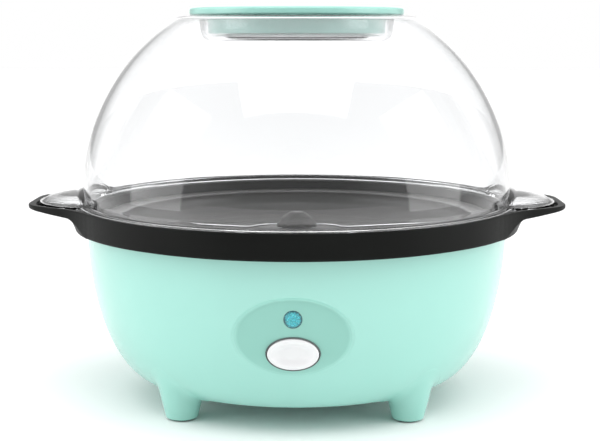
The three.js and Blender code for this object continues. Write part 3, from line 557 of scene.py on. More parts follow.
def rubber():
    """Moulded rubber: soft grain, with a dusty bloom."""
    paint = Paint("rubber", (0.02, 0.02, 0.02), ior=1.45)
    bloom = paint.between(paint.noise(80, 5), 0.4, 0.75)
    paint.set("Base Color", paint.mix(bloom, (0.016, 0.016, 0.016), (0.05, 0.05, 0.048)))
    paint.set("Roughness", 0.62 + 0.2 * bloom)
    return paint.bump(paint.noise(1600, 3), 0.03).material


def wire_jacket():
    """Braided glass sleeve: crossing ridges finer than a millimetre."""
    paint = Paint("wire_jacket", (0.7, 0.66, 0.56), ior=1.45)
    waves = {"wave_type": "BANDS", "bands_direction": "DIAGONAL"}
    strands = [
        paint.node("ShaderNodeTexWave", waves, {"Vector": paint.place(way), "Scale": 900})
        for way in ((1, 1, 1), (-1, 1, 1))
    ]
    braid = strands[1] * strands[0]
    paint.set("Base Color", paint.mix(braid, (0.52, 0.48, 0.4), (0.78, 0.75, 0.66)))
    paint.set("Roughness", 0.55 + 0.2 * braid)
    return paint.bump(braid, 0.08).material


MAKERS = (
    mint_plastic, black_plastic, clear_plastic, non_stick, stainless_wire, heater_sheath, zinc_sheet,
    zinc_screw, hub_phenolic, dark_moulding, winding, nylon, white_button, grey_bezel, lamp_lens, lamp_glass,
    rubber, wire_jacket,
)


def once(maker):
    """Makes a material the first time it is asked for and gives the same one afterwards."""
    return lambda: bpy.data.materials.get(f"{maker.__name__}_finish") or maker()


FINISHES = {maker.__name__: once(maker) for maker in MAKERS}


# ---------------------------------------------------------------- bowl-shaped housing
def bowl_r(z, inset=0.0, lift=0.0):
    """Radius of the bowl's wall at a height: a quarter ellipse from the flat floor to the rim."""
    drop = (BOWL["top"] - z) / (BOWL["top"] - BOWL["bottom"] - lift)
    spread = BOWL["top_r"] - BOWL["base_r"] - inset
    return BOWL["base_r"] + spread * np.sqrt(np.clip(1 - drop * drop, 0, 1))


def bowl_z(r):
    """Height of the bowl's outer surface at a radius, the same ellipse read the other way."""
    share = np.clip((r - BOWL["base_r"]) / (BOWL["top_r"] - BOWL["base_r"]), 0, 1)
    return BOWL["top"] - (BOWL["top"] - BOWL["bottom"]) * np.sqrt(1 - share * share)


def on_bowl(x, z, sink=0.0, side=-1, **wall):
    """The point of the wall, sunk by a depth, that shows at (x, z) from the front, or from behind with
    side 1."""
    r = bowl_r(z, **wall) - sink
    return np.stack([x, side * np.sqrt(np.maximum(r * r - x * x, 0)), z], -1)


def panel_sink(z):
    """Depth of the control panel's pocket: nothing at its foot, growing evenly to its full depth at the
    top."""
    return PANEL["depth"] * (z - PANEL["z"] + PANEL["half_height"]) / (2 * PANEL["half_height"])


def panel_place(z):
    """Where the panel's floor is at a height, and the unit vector out of it."""
    slope = (bowl_r(z + 0.5) - panel_sink(z + 0.5)) - (bowl_r(z - 0.5) - panel_sink(z - 0.5))
    tilt = math.atan(float(slope))
    spot = np.array([0, -(bowl_r(z) - panel_sink(z)), z], float)
    return spot, np.array([0, -math.cos(tilt), -math.sin(tilt)])


def off_panel(grid, z):
    """Moves a shape drawn on XY with +Z outwards to its place on the panel."""
    spot, out = panel_place(z)
    up = np.array([0, out[2], -out[1]])
    return spot + grid[..., :1] * np.array([1.0, 0, 0]) + grid[..., 1:2] * up + grid[..., 2:] * out


def wall_cuts(columns, rows, half_turn, z_low, z_high, facing):
    """Which rows and columns of the wall's grid bound a window, and its border as (row, column) pairs in
    turn."""
    angles = round_angles(columns)
    from_middle = (angles - facing + math.pi) % TURN - math.pi
    inside = np.where(np.abs(from_middle) <= math.radians(half_turn))[0]
    inside = inside[np.argsort(from_middle[inside])]
    heights = BOWL["top"] - (BOWL["top"] - BOWL["bottom"]) * np.cos(rows)
    band = np.where((heights >= z_low) & (heights <= z_high))[0]
    first, last = band[0], band[-1]
    bottom = [(first, j) for j in inside]
    right = [(i, inside[-1]) for i in range(first + 1, last + 1)]
    top = [(last, j) for j in inside[-2::-1]]
    left = [(i, inside[0]) for i in range(last - 1, first, -1)]
    return np.array(bottom + right + top + left), (first, last), inside[:-1]


def rings_between(first, last, steps):
    """Rings from one closed line of points to another, evenly spaced and without the first."""
    share = (np.arange(1, steps + 1) / steps)[:, None, None]
    return first + (last - first) * share


def ellipse_facing(border, centre_z, half_width, half_height):
    """The point of an ellipse that each point of a border looks at."""
    angle = np.arctan2((border[:, 1] - centre_z) / half_height, border[:, 0] / half_width)
    return np.stack([half_width * np.cos(angle), centre_z + half_height * np.sin(angle)], -1)


def front_window(outer, inner):
    """Rings from the wall's border through the panel's pocket and the button's hole to the inner wall's
    border."""
    flat, width, height = outer[:, [0, 2]], PANEL["half_width"], PANEL["half_height"]
    sizes = np.array([0.9, 0.5, 0.2, -0.1, -0.45, -0.9, -1.5, -2.1])
    sinks = [0, 0.0, 0.06, 0.2, 0.5, 0.8, 0.96, 1]
    rims = [ellipse_facing(flat, PANEL["z"], width + s, height + s) for s in sizes]
    lead = rings_between(flat, rims[0], 7)
    stack = [on_bowl(ring[:, 0], ring[:, 1]) for ring in lead]
    stack += [on_bowl(r[:, 0], r[:, 1], panel_sink(r[:, 1]) * s) for r, s in zip(rims[1:], sinks[1:])]
    lean = -panel_place(BUTTON["z"])[1]
    room = BUTTON["clearance"]
    half_width, half_height = BUTTON["half_width"] + room, (BUTTON["half_height"] + room) * lean[1]
    hole = ellipse_facing(flat, BUTTON["z"], half_width, half_height)
    stack += [on_bowl(r[:, 0], r[:, 1], panel_sink(r[:, 1])) for r in rings_between(rims[-1], hole, 12)]
    through = hole + [0, lean[2] * BOWL["wall"]]
    wall = {"inset": BOWL["wall"], "lift": BOWL["floor"]}
    stack.append(on_bowl(through[:, 0], through[:, 1], **wall))
    back = rings_between(through, inner[:, [0, 2]], 6)
    return np.stack([outer, *stack, *(on_bowl(r[:, 0], r[:, 1], **wall) for r in back)])


def rear_window(outer, inner):
    """Rings from the wall's border up the cord boss, over its face and back through its bore to the
    inner wall."""
    flat, radius, face = outer[:, [0, 2]], INLET["boss_r"], INLET["boss_y"]
    circle = lambda r: ellipse_facing(flat, INLET["z"], r, r)
    stack = [on_bowl(r[:, 0], r[:, 1], side=1) for r in rings_between(flat, circle(radius + 2), 5)]
    foot = circle(radius)
    root = on_bowl(foot[:, 0], foot[:, 1], side=1)
    for share, grow in ((0.12, 0.7), (0.35, 0.15), (0.8, 0.0)):
        ring = circle(radius + grow)
        rise = root[:, 1] + share * (face - root[:, 1])
        stack.append(np.stack([ring[:, 0], rise, ring[:, 1]], -1))
    for grow, back in ((-0.2, 0.25), (-0.7, 0.0), (INLET["hole_r"] - radius + 0.3, 0.0)):
        ring = circle(radius + grow)
        stack.append(np.stack([ring[:, 0], face - back + 0 * ring[:, 0], ring[:, 1]], -1))
    bore = circle(INLET["hole_r"])
    stack.append(np.stack([bore[:, 0], face - 0.4 + 0 * bore[:, 0], bore[:, 1]], -1))
    wall = {"inset": BOWL["wall"], "lift": BOWL["floor"], "side": 1}
    stack.append(on_bowl(bore[:, 0], bore[:, 1], **wall))
    back = rings_between(bore, inner[:, [0, 2]], 4)
    return np.stack([outer, *stack, *(on_bowl(r[:, 0], r[:, 1], **wall) for r in back)])


def housing_foot(x, y):
    """One foot, as curves from its sole to the bowl: for each direction a round-edged cone, then a cubic
    curve that leaves the cone along its side and lands on the bowl along the bowl's own slope."""
    a = round_angles(56)
    way = np.stack([np.cos(a), np.sin(a)], -1)
    middle = np.array([x, y])
    sole, neck = FOOT["sole"], (10.1, 8.6)
    cone = rounded([(0, 3.3), (6.7, 3.3), (6.7, sole), (8.2, sole, 0.9), neck], steps=4)
    rows = [np.stack([*(middle + way * r).T, z + 0 * a], -1) for r, z in cone]
    land = 16.5 + 0 * a
    height = lambda r: bowl_z(np.linalg.norm(middle + way * r[:, None], axis=1))
    start = np.array(neck) + 0 * way
    end = np.stack([land, height(land)], -1)
    slope = unit(np.stack([0.2 + 0 * a, height(land + 0.1) - height(land - 0.1)], -1))
    reach = np.linalg.norm(end - start, axis=1, keepdims=True)
    lift = start + reach * 0.42 * unit(np.array([1.9, 7.8]))
    near = end - slope * reach * 0.5
    for t in np.linspace(0, 1, 15)[1:]:
        spot = (1 - t) ** 3 * start + 3 * t * (1 - t) ** 2 * lift + 3 * t * t * (1 - t) * near + t**3 * end
        rows.append(np.concatenate([middle + way * spot[:, :1], spot[:, 1:]], 1))
    sunk = land + 0.5
    rows.append(np.concatenate([middle + way * sunk[:, None], (height(sunk) + 0.8)[:, None]], 1))
    rows.append(np.concatenate([middle + 0 * way, np.full((len(a), 1), 14.5)], 1))
    return np.stack(rows)


def make_housing():
    columns = 240
    angles = round_angles(columns)
    rows = np.radians(np.linspace(0, 90, 65))
    outer_z = BOWL["top"] - BOWL["depth"] * np.cos(rows)
    outside = np.stack([bowl_r(outer_z), outer_z], -1)
    inner_z = BOWL["top"] - (BOWL["depth"] - BOWL["floor"]) * np.cos(rows)
    inside = np.stack([bowl_r(inner_z, BOWL["wall"], BOWL["floor"]), inner_z], -1)
    rebate, floor = BOWL["bottom"] + 1.9, BOWL["bottom"] + BOWL["floor"]
    under = rounded([inside[0], (BOWL["opening_r"], floor, 0.4), (BOWL["opening_r"], rebate),
                     (BOWL["cover_r"], rebate), (BOWL["cover_r"], BOWL["bottom"], 0.4), outside[0]], steps=3)
    skin = Skin()
    skin.add(turned(under, angles))
    skin.add(turned(np.stack([outside[-1], inside[-1]]), angles))
    shells = [turned(outside, angles), turned(inside, angles)]
    filled = np.ones((len(rows) - 1, columns), bool)
    windows = [(20.5, PANEL["z"] - 25, PANEL["z"] + 25.5, 0, front_window)]
    windows += [(9.5, INLET["z"] - 14, INLET["z"] + 14, math.pi, rear_window)]
    for half_turn, z_low, z_high, facing, window in windows:
        border, (first, last), across = wall_cuts(columns, rows, half_turn, z_low, z_high, facing)
        filled[first:last, across] = False
        skin.add(window(*(shell[border[:, 0], border[:, 1]] for shell in shells)))
    for shell in shells:
        skin.add(shell, keep=filled)
    for x in (-FOOT["x"], FOOT["x"]):
        for y in (-FOOT["y"], FOOT["y"]):
            skin.add(housing_foot(x, y))
    skin.piece("bowl_housing", "mint_plastic", "base", "base_housing", crease=50)


def make_rubber_feet():
    """Pads with a rounded edge and a shallow dish underneath."""
    profile = rounded([(0, 0.35), (4.2, 0.35, 0.8), (4.9, 0), (6.3, 0, 0.5), (6.3, 3), (0, 3)], steps=4)
    for i in range(1, 5):
        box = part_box(f"foot_pad_{i}")
        middle = (box[0] + box[1]) * 0.5 / MM
        pad = turned(profile, round_angles(48)) + np.array([middle.x, middle.y, 0])
        Skin().add(pad).piece(f"rubber_foot_{i}", "rubber", "base", f"foot_pad_{i}")


# ---------------------------------------------------------------- rim with handles
def polar_reach(outline, angles, least):
    """How far an outline, drawn for one end of the X axis, reaches at each angle from that axis."""
    turn = np.arctan2(outline[:, 1], outline[:, 0])
    order = np.argsort(turn)
    reach = np.interp(angles, turn[order], np.linalg.norm(outline, axis=1)[order], left=0, right=0)
    return np.maximum(reach, least)


def mirrored(half):
    """Half an outline, from the root at -Y to the X axis, and its mirror image."""
    return np.concatenate([half, (half * [1, -1])[::-1]])


def handle_outline(reach):
    return mirrored(np.concatenate([
        bent((103, -63.5), (114.7, -44.6), (123.8, -39.1)),
        bent((138, -28.8), (reach, -22.8), (reach, -10), 10),
        [(reach, -5), (reach, 0)],
    ]))


def tray_outline(reach):
    return mirrored(np.concatenate([
        bent((108.5, -50), (113, -42), (121.5, -37.6)),
        bent((135.8, -26.8), (reach, -21), (reach, -9), 10),
        [(reach, -4), (reach, 0)],
    ]))


def handle_under(r):
    """Height of a handle's underside: a hollow curve out of the ring's wall, then a gentle climb to the
    tip."""
    climb = 8.4 * (1 - (1 - np.clip((r - 120.7) / 6.6, 0, 1)) ** 2.4)
    return RIM["bottom"] + climb + 0.13 * np.maximum(r - 127.3, 0)


def lip_rise(from_x):
    """How much higher the lip stands towards the handles than at the front. It is nothing while the ring's
    top is the handles' own height."""
    from_front = 90 - np.degrees(np.abs(from_x))
    return (HANDLE_TOP - RIM["top"]) * ease((from_front - 12) / 40)


def make_rim():
    sparse = np.linspace(34, 146, 62)
    dense = np.linspace(-34, 34, 121)[:-1]
    degrees = np.concatenate([dense, sparse[:-1], dense + 180, sparse[:-1] + 180])
    angles = np.radians(degrees)
    from_x = np.arctan2(np.sin(angles), np.abs(np.cos(angles)))
    outer = polar_reach(handle_outline(RIM["reach"]), from_x, RIM["outer"])
    tray = polar_reach(tray_outline(RIM["reach"] - 3.9), from_x, RIM["outer"] - RIM["lip"])
    tray = np.minimum(tray, outer - RIM["lip"])
    top = RIM["top"] + lip_rise(from_x)
    deck, bottom, seat = RIM["deck"], RIM["bottom"], RIM["seat"]
    floor = deck + (TRAY_FLOOR - deck) * ease((tray - RIM["outer"] + RIM["lip"]) / 1.5)
    rows = []

    def ring(r, z):
        rows.append(np.stack([r * np.cos(angles), r * np.sin(angles), z + 0 * angles], -1))

    def bend(r, z, radius, start, end, steps=4):
        """Rows of a quarter round with its centre at (r, z), from one angle to another in degrees."""
        for turn in np.radians(np.linspace(start, end, steps)):
            ring(r + radius * math.cos(turn), z + radius * math.sin(turn))

    hidden = rounded([(RIM["inner"], 96.6), (RIM["inner"], 91.4, 0.4), (115.1, 91.4), (115.1, 98.4),
                      (118.4, 98.4, 0.5), (118.4, bottom, 0.4), (119.6, bottom)], steps=3)
    for r, z in hidden:
        ring(r, z)
    edge, nose = outer - 0.9, handle_under(outer - 0.9) + 0.9
    for share in np.linspace(0, 1, 24)[1:] ** 1.5:
        r = 119.6 + (edge - 119.6) * share
        ring(r, handle_under(r))
    bend(edge, nose, 0.9, -70, 0)
    for share in (0.1, 0.5, 0.9):
        ring(outer, nose + share * (top - 0.6 - nose))
    bend(outer - 0.6, top - 0.6, 0.6, 0, 90, 5)
    for share in (0.12, 0.88):
        ring(outer - 0.6 + (tray + 0.5 - outer + 0.6) * share, top)
    bend(tray + 0.5, top - 0.5, 0.5, 90, 180)
    bend(tray - 0.5, floor + 0.5, 0.5, 0, -90)
    step = np.minimum(tray - 0.5, RIM["outer"] - 1.4)
    for share in (0.05, 0.35, 0.7, 1.0):
        ring(tray - 0.5 + (step - tray + 0.5) * share, floor)
    ring(step - 0.2, floor - 0.1 * (floor - deck))
    ring(step - 0.2, deck + 0.02)
    for share in (0.05, 0.5, 0.95):
        ring(step - 0.3 + (110.8 - step + 0.3) * share, deck)
    shelf = rounded([(110.8, deck), (110.3, deck, 0.4), (seat, 98.9, 0.6), (seat, 96.6), (98, 96.6)], steps=3)
    for r, z in shelf[1:-1]:
        ring(r, z)
    skin = Skin().add(np.stack(rows), loop=True)
    skin.piece("rim_and_handles", "black_plastic", "base", "rim_ring", crease=50)


# ---------------------------------------------------------------- pan and stirrer
def make_pan():
    """Pressed pan: a flat floor, a wall that curves up and a rolled flange, with three blind studs
    below."""
    thick, floor, wall_r, flange = PAN["thick"], PAN["floor"], PAN["wall_r"], PAN["flange"]
    top = flange + thick
    outline = rounded([
        (PAN["hole_r"], floor - thick), (PAN["floor_r"] - 2, floor - thick, 6), (88.5, 84.2, 12),
        (wall_r, 92, 9), (wall_r, flange, 0.5), (PAN["flange_r"], flange, 0.5), (PAN["flange_r"], top, 0.5),
        (wall_r - thick, top, 1.2), (wall_r - thick, 93, 8), (87.6, 85.8, 12), (PAN["floor_r"] - 2, floor, 6),
        (PAN["hole_r"], floor, 0.4),
    ], closed=True, steps=6)
    skin = Skin().add(turned(outline, round_angles(180)), loop=True)
    stud = rounded([(1.7, 75), (1.7, PAN["stud_bottom"]), (PAN["stud_r"], PAN["stud_bottom"], 0.3),
                    (PAN["stud_r"], floor - 0.6), (0, floor - 0.6), (0, 75)], closed=True, steps=3)
    for turn in np.radians([90, 210, 330]):
        spot = PAN["stud_at"] * np.array([math.cos(turn), math.sin(turn), 0])
        skin.add(turned(stud, round_angles(24)) + spot, loop=True)
    skin.piece("coated_pan", "non_stick", "base", "popping_pan", crease=45)


def make_stirrer():
    """A domed hub with finger flats and two wire arms that run out of it and sweep the pan's floor."""
    hub_r, low_z, top = HUB["r"], HUB["bottom"], HUB["top"]
    bore_top = low_z + 10.4
    profile = rounded([(3.8, bore_top), (3.8, low_z, 0.3), (hub_r, low_z, 0.9), (hub_r, 91.5, 2.2),
                       (8.2, 96.2, 4), (3.5, top, 3), (0, top)], steps=6)
    profile = np.concatenate([[(0, bore_top)], profile])
    angles = round_angles(96)
    hub = turned(profile, angles)
    share = ease((hub[..., 2] - 88) / 3) * ease((top - 1.0 - hub[..., 2]) / 5)
    waist = 1 - 0.07 * share * (0.5 + 0.5 * np.cos(6 * angles))
    hub[..., :2] *= np.where(profile[:, 0] > 4, 1.0, 0.0)[:, None, None] * (waist[..., None] - 1) + 1
    Skin().add(hub).piece("stirrer_hub", "hub_phenolic", "stirrer", "stir_hub", crease=45)
    inner = [[6.9, 0, HUB["arm"]], [15, 0, HUB["arm"]], [21, 0, 87.6], [27, 0, ARM_RUN_Z]]
    routes = {
        "long": inner + [[45, 4, ARM_RUN_Z], [64, 5, ARM_RUN_Z], [77, 0, ARM_RUN_Z + 0.4], [84, -5, 87]],
        "short": inner + [[40, -3, ARM_RUN_Z], [54, -6, ARM_RUN_Z], [60, -13, ARM_RUN_Z]],
    }
    for name, points in routes.items():
        line = spline(points, 10) * ([1, 1, 1] if name == "long" else [-1, -1, 1])
        bar = swept(line, 1.6, 20, (0, 0, 1))
        Skin().add(bar).piece(f"{name}_stir_arm", "stainless_wire", "stirrer", f"stir_arm_{name}")


def make_spindle():
    """The drive shaft, flat on one side above its bearing, and the flanged bearing in the pan's hole."""
    low_z, top = low("drive_shaft", "Z"), high("drive_shaft", "Z")
    bar = turned(rounded([(0, low_z), (3.5, low_z, 0.4), (3.5, 84.8), (3.5, 85.2), (3.5, top, 0.5), (0, top)],
                         steps=3), round_angles(48))
    above = bar[..., 2] > 85
    bar[..., 0] = np.where(above, np.minimum(bar[..., 0], 2.6), bar[..., 0])
    Skin().add(bar).piece("drive_spindle", "stainless_wire", "drive", "drive_shaft", crease=30)
    bush = rounded([(3.8, 76.5), (6.7, 76.5, 0.3), (6.7, 82.3), (9.5, 82.3), (9.5, 83.8, 0.6),
                    (3.8, 83.8, 0.4)], closed=True, steps=4)
    Skin().add(turned(bush, round_angles(64)), loop=True).piece(
        "shaft_bearing", "stainless_wire", "base", "shaft_bush", crease=30)


# ---------------------------------------------------------------- dome and cap
def slotted_angles(radii, per_side):
    """Column angles for each radius, in sectors with a straight slot each: the slot's two sides stay 3
    mm apart, and the columns between slots share the rest of the turn evenly."""
    half_slot = np.arcsin(1.5 / np.clip(radii, WELL["slot_from"], 47))
    half_sector = TURN / WELL["slots"] / 2
    share = np.linspace(0, 1, per_side + 1)[:-1]
    right = half_slot[:, None] + (half_sector - half_slot)[:, None] * share
    cell = np.concatenate([-right[:, ::-1], 0 * half_slot[:, None], right], 1)
    cell = np.concatenate([cell, np.full((len(radii), 1), half_sector)], 1)
    sectors = [cell + i * TURN / WELL["slots"] for i in range(WELL["slots"])]
    return np.concatenate(sectors, 1)


def egg_reach(angles, inset=0.0):
    """How far a tab's egg reaches at each angle from the X axis, or 0 where it doesn't: the outer
    crossing of ((x - centre) / half length)^2 + (y / half width)^2 = 1."""
    length, width = TAB["reach"] - TAB["centre"] - inset, TAB["half"] - inset
    c, s = np.abs(np.cos(angles)), np.sin(angles)
    a, b = (c / length) ** 2 + (s / width) ** 2, -2 * c * TAB["centre"] / length**2
    d = b * b - 4 * a * ((TAB["centre"] / length) ** 2 - 1)
    return np.where(d > 0, (-b + np.sqrt(np.maximum(d, 0))) / (2 * a), 0)


def egg_height(r, angles, inset=0.0):
    """Height of a tab's egg over its foot: rise times the square root of 1 less the same sum of squares."""
    length, width = TAB["reach"] - TAB["centre"] - inset, TAB["half"] - inset
    across, along = (r * np.abs(np.cos(angles)) - TAB["centre"]) / length, r * np.sin(angles) / width
    return TAB["foot"] + (TAB["rise"] - inset) * np.sqrt(np.maximum(1 - across**2 - along**2, 0))


WALL_FOOT_FROM = 18.0    # latitude in degrees below which the wall's rows close up over the tabs


def shoulder_of(r, height):
    """Where a ball of radius r reaches a height over its centre, and its latitude 5 mm farther out."""
    shoulder = math.sqrt(r * r - height * height)
    return shoulder, math.degrees(math.acos((shoulder + 5.0) / r))


def dome_profiles(wall):
    """The dome's section down the outside from the middle of the well to the foot of the wall, and up
    the inside from the foot back to the middle of the well's underside. Both have the same rows across
    the slotted floor."""
    top, floor, r, centre = DOME["top"], WELL["floor"], DOME["r"], DOME["centre"]
    across = np.array([0, 5, 11, WELL["slot_from"], 22, 28, 34, WELL["slot_to"]])
    shoulder, drop = shoulder_of(r, top - centre)
    upper = rounded([(WELL["slot_to"], floor), (WELL["floor_r"], floor, 4), (WELL["r"], top, 2.6),
                     (shoulder, top, 9), tuple(arc(centre, r, drop, drop, 0)[0])], steps=7)
    level = np.stack([across, floor + 0 * across], -1)
    outside = np.concatenate([level, upper[1:], arc(centre, r, drop, WALL_FOOT_FROM, 34)[1:]])
    inner, under, roof = r - wall, floor - 2.0, top - wall
    shoulder, drop = shoulder_of(inner, roof - centre)
    lower = rounded([tuple(arc(centre, inner, drop, drop, 0)[0]), (shoulder, roof, 7),
                     (WELL["r"] + wall, roof, 1.2), (WELL["floor_r"] + wall, under, 6),
                     (WELL["slot_to"], under)], steps=7)
    inside = np.concatenate([arc(centre, inner, 0, drop, 40)[:-1], lower[:-1],
                             np.stack([across[::-1], under + 0 * across], -1)])
    return outside, inside, len(across)


def make_dome():
    """A clear shell with an even wall: a ball's upper half cut flat, a well with straining slots sunk in
    its top, and at its foot a flange and two tabs like hollow half eggs."""
    wall = bpy.context.scene.popcorn_sizes.dome_wall / MM
    outside, inside, flat_rows = dome_profiles(wall)
    columns = slotted_angles(np.concatenate([outside[:, 0], inside[:, 0]]), 18)
    out_a, in_a = columns[: len(outside)], columns[len(outside):]
    place = lambda r, a, z: np.stack([r * np.cos(a), r * np.sin(a), z + 0 * a], -1)
    r, foot_a, bottom = DOME["r"], out_a[-1], DOME["flange"]
    top, edge = bottom + wall, DOME["flange_r"]
    rim = edge - 0.5

    def upper(radius):
        """The flange's top with its hollow root, or a tab's egg with a smaller root where that stands
        higher."""
        root = 1.4 - np.sqrt(1.96 - np.clip(1.4 - (radius - r), 0, 1.4) ** 2)
        lean = 1.3 * np.clip(1 - (radius - r) / 2.4, 0, 1) ** 2
        egg = egg_height(radius, foot_a)
        over_tab = np.where(egg > TAB["foot"] + 0.01, egg + lean * ease((egg - 104) / 3), 0)
        return np.maximum(top + root, over_tab)

    lowest = np.degrees(np.arcsin((upper(r + 0 * foot_a) - DOME["centre"]) / r))
    rows = [place(outside[:, :1], out_a, outside[:, 1:])]
    for share in np.linspace(0, 1, 15)[1:]:
        latitude = np.radians(WALL_FOOT_FROM + (lowest - WALL_FOOT_FROM) * share)
        rows.append(place(r * np.cos(latitude), foot_a, DOME["centre"] + r * np.sin(latitude))[None])
    reach = np.maximum(egg_reach(foot_a), rim)
    for share in np.sin(np.radians(np.linspace(0, 90, 26)[1:])):
        radius = r + (reach - r) * share
        rows.append(place(radius, foot_a, upper(radius))[None])
    inner_reach = egg_reach(foot_a, wall)
    hollow = inner_reach > edge + 0.4

    def spot(radius, z):
        """A row inside the hollow tabs. Everywhere else it stays on the outer edge."""
        return place(np.where(hollow, radius, reach), foot_a, np.where(hollow, z, upper(reach)))[None]

    rows.append(place(reach, foot_a, np.minimum(upper(reach), TAB["foot"]))[None])
    for share in np.cos(np.radians(np.linspace(0, 90, 14))):
        radius = r + 0.1 + (inner_reach - r - 0.1) * share
        rows.append(spot(radius, egg_height(radius, foot_a, wall)))
    rows.append(spot(r + 0.1 + 0 * foot_a, top + 0.5))
    rows.append(spot(r + 0.6 + 0 * foot_a, top))
    rows.append(spot(rim + 0 * foot_a, top))
    bends = [(turn, top - 0.5) for turn in (60, 30, 0)]
    bends += [(-turn, bottom + 0.5) for turn in (0, 30, 60, 90)]
    inner = r - wall
    steps = [(rim + 0.5 * math.cos(math.radians(turn)), middle + 0.5 * math.sin(math.radians(turn)))
             for turn, middle in bends]
    steps += [(inner + 0.7, bottom), (inner + 0.5, bottom), (inner, bottom + 0.5), (inner, bottom + 3)]
    for radius, z in steps:
        rows.append(place(radius + 0 * foot_a, foot_a, z)[None])
    rows.append(place(inside[:, :1], in_a, inside[:, 1:]))
    grid = np.concatenate(rows)
    count, per_sector = grid.shape[1], grid.shape[1] // WELL["slots"]
    slot = np.zeros(count, bool)
    middle = per_sector // 2
    for i in range(WELL["slots"]):
        slot[i * per_sector + middle - 1: i * per_sector + middle + 1] = True
    filled = np.ones((len(grid) - 1, count), bool)
    first, last = 3, flat_rows - 1
    filled[first:last, slot] = False
    filled[len(grid) - 1 - last: len(grid) - 1 - first, slot] = False
    skin = Skin().add(grid, keep=filled)
    for i in range(WELL["slots"]):
        left, right = i * per_sector + middle - 1, i * per_sector + middle + 1
        loop = [(row, left) for row in range(first, last)] + [(last, c) for c in range(left, right)]
        loop += [(row, right) for row in range(last, first, -1)]
        loop += [(first, c) for c in range(right, left, -1)]
        row, column = np.array(loop).T
        skin.add(np.stack([grid[row, column], grid[len(grid) - 1 - row, column]]))
    skin.piece("dome_bowl", "clear_plastic", "dome", "dome_cover", crease=40)


def make_cap():
    """A wide flat disc over a skirt, hollow below, so that it measures kernels when it is turned over."""
    wall, disc, top, skirt = CAP["wall"], CAP["disc"], CAP["top"], CAP["skirt_r"]
    profile = rounded([
        (0, top), (CAP["disc_r"], top, 1.3), (CAP["disc_r"], disc, 0.8), (skirt, disc, 1.0),
        (skirt - 0.8, CAP["bottom"], 0.7), (skirt - 0.8 - wall, CAP["bottom"], 0.7),
        (skirt - wall, top - wall, 1.5), (0, top - wall),
    ], steps=6)
    Skin().add(turned(profile, round_angles(200))).piece("measuring_cap", "mint_plastic", "cap", "top_cap")


# ---------------------------------------------------------------- panel pieces
def oval(profile, half_width, half_height, sides=112):
    """A profile of [offset in from the oval's edge, height] carried round an oval. The offset is taken
    off both half sizes, so every row is an oval, and an offset of the full half size closes it on the
    middle."""
    a = round_angles(sides)
    inset, z = profile[:, 0, None], profile[:, 1, None]
    width = np.maximum(half_width - inset, 0) * (inset < half_height)
    height = np.maximum(half_height - inset, 0)
    closing = np.where(inset >= half_height, 0.0, 1.0)
    return np.stack([width * np.cos(a) * closing, height * np.sin(a) * closing, z + 0 * a], -1)


def make_button():
    """Push button: a barrel with a collar behind the panel and a face dished for a finger.

    The dish follows depth times 1 - (u^2 + v^2), with u and v the shares of the oval's half sizes."""
    half_w, half_h, proud = BUTTON["half_width"], BUTTON["half_height"], BUTTON["proud"]
    dish = bpy.context.scene.popcorn_sizes.button_dish / MM
    lip = 1.7
    side = rounded([(half_h, -7), (-2, -7, 0.3), (-2, -5.5, 0.3), (0, -5.5), (0, proud, 0.75),
                    (lip, proud)], steps=6)
    skirt = oval(side, half_w, half_h)
    a = round_angles(112)
    share = np.linspace(1, 0, 19)[:, None]
    sunk = proud - dish * ease((1 - share * share) * 1.15)
    width, height = (half_w - lip) * share, (half_h - lip) * share
    face = np.stack([width * np.cos(a), height * np.sin(a), sunk + 0 * a], -1)
    skin = Skin().add(off_panel(np.concatenate([skirt, face[1:]]), BUTTON["z"]))
    skin.piece("start_button", "white_button", "button", "power_button", crease=45)
    ring = rounded([(0.42, -3.4), (0, -3.4), (0, 0.35, 0.15), (0.42, 0.35, 0.15)], closed=True, steps=4)
    trim = oval(ring, half_w + BUTTON["trim"], half_h + BUTTON["trim"])
    skin = Skin().add(off_panel(trim, BUTTON["z"]), loop=True)
    skin.piece("button_trim", "grey_bezel", "base", "button_bezel")


def make_lens():
    """Lamp cover: a low dome whose face is pebbled, as the sum of three waves 60 degrees apart."""
    r = LENS["r"]
    share = np.linspace(1, 0, 61)[:, None]
    a = round_angles(150)
    x, y = (r - 0.35) * share * np.cos(a), (r - 0.35) * share * np.sin(a)
    pitch = TURN / 1.15
    ways = np.radians([0, 60, 120])
    waves = sum(np.cos(pitch * (x * math.cos(way) + y * math.sin(way))) for way in ways)
    calm = ease((1 - share) * 5)
    face = np.stack([x, y, 0.25 + 0.55 * (1 - share**2) + 0.075 * waves * calm], -1)
    side = rounded([(0, -4.2), (r + 1.5, -4.2, 0.2), (r + 1.5, -3), (r, -3), (r, 0.25, 0.35),
                    (r - 0.35, 0.25)], steps=4)
    back = np.stack([side[:, :1] * np.cos(a), side[:, :1] * np.sin(a), side[:, 1:] + 0 * a], -1)
    skin = Skin().add(off_panel(np.concatenate([back, face[1:]]), LENS["z"]))
    skin.piece("lamp_window", "lamp_lens", "base", "indicator_lens", crease=60)


def make_cord_bush():
    """Rubber grommet that lines the cord's hole: a rolled flange with grip rings round it and a flared
    bore."""
    flange = INLET["boss_y"] + 0.3
    profile = rounded([
        (3.6, 92), (6.3, 92, 0.5), (6.3, flange), (9, flange, 0.4), (9, flange + 1.5, 1.0),
        (6.6, flange + 2.8, 1.0), (5.9, flange + 2.3, 0.4), (5.2, flange + 2.8, 0.5),
        (3.6, flange + 2.0, 1.2),
    ], closed=True, steps=5)
    a = round_angles(72)
    r, y = profile[:, :1], profile[:, 1:]
    grid = np.stack([r * np.cos(a), y + 0 * a, INLET["z"] + r * np.sin(a)], -1)
    Skin().add(grid, loop=True).piece("cord_grommet", "rubber", "base", "cord_inlet_bush", crease=45)


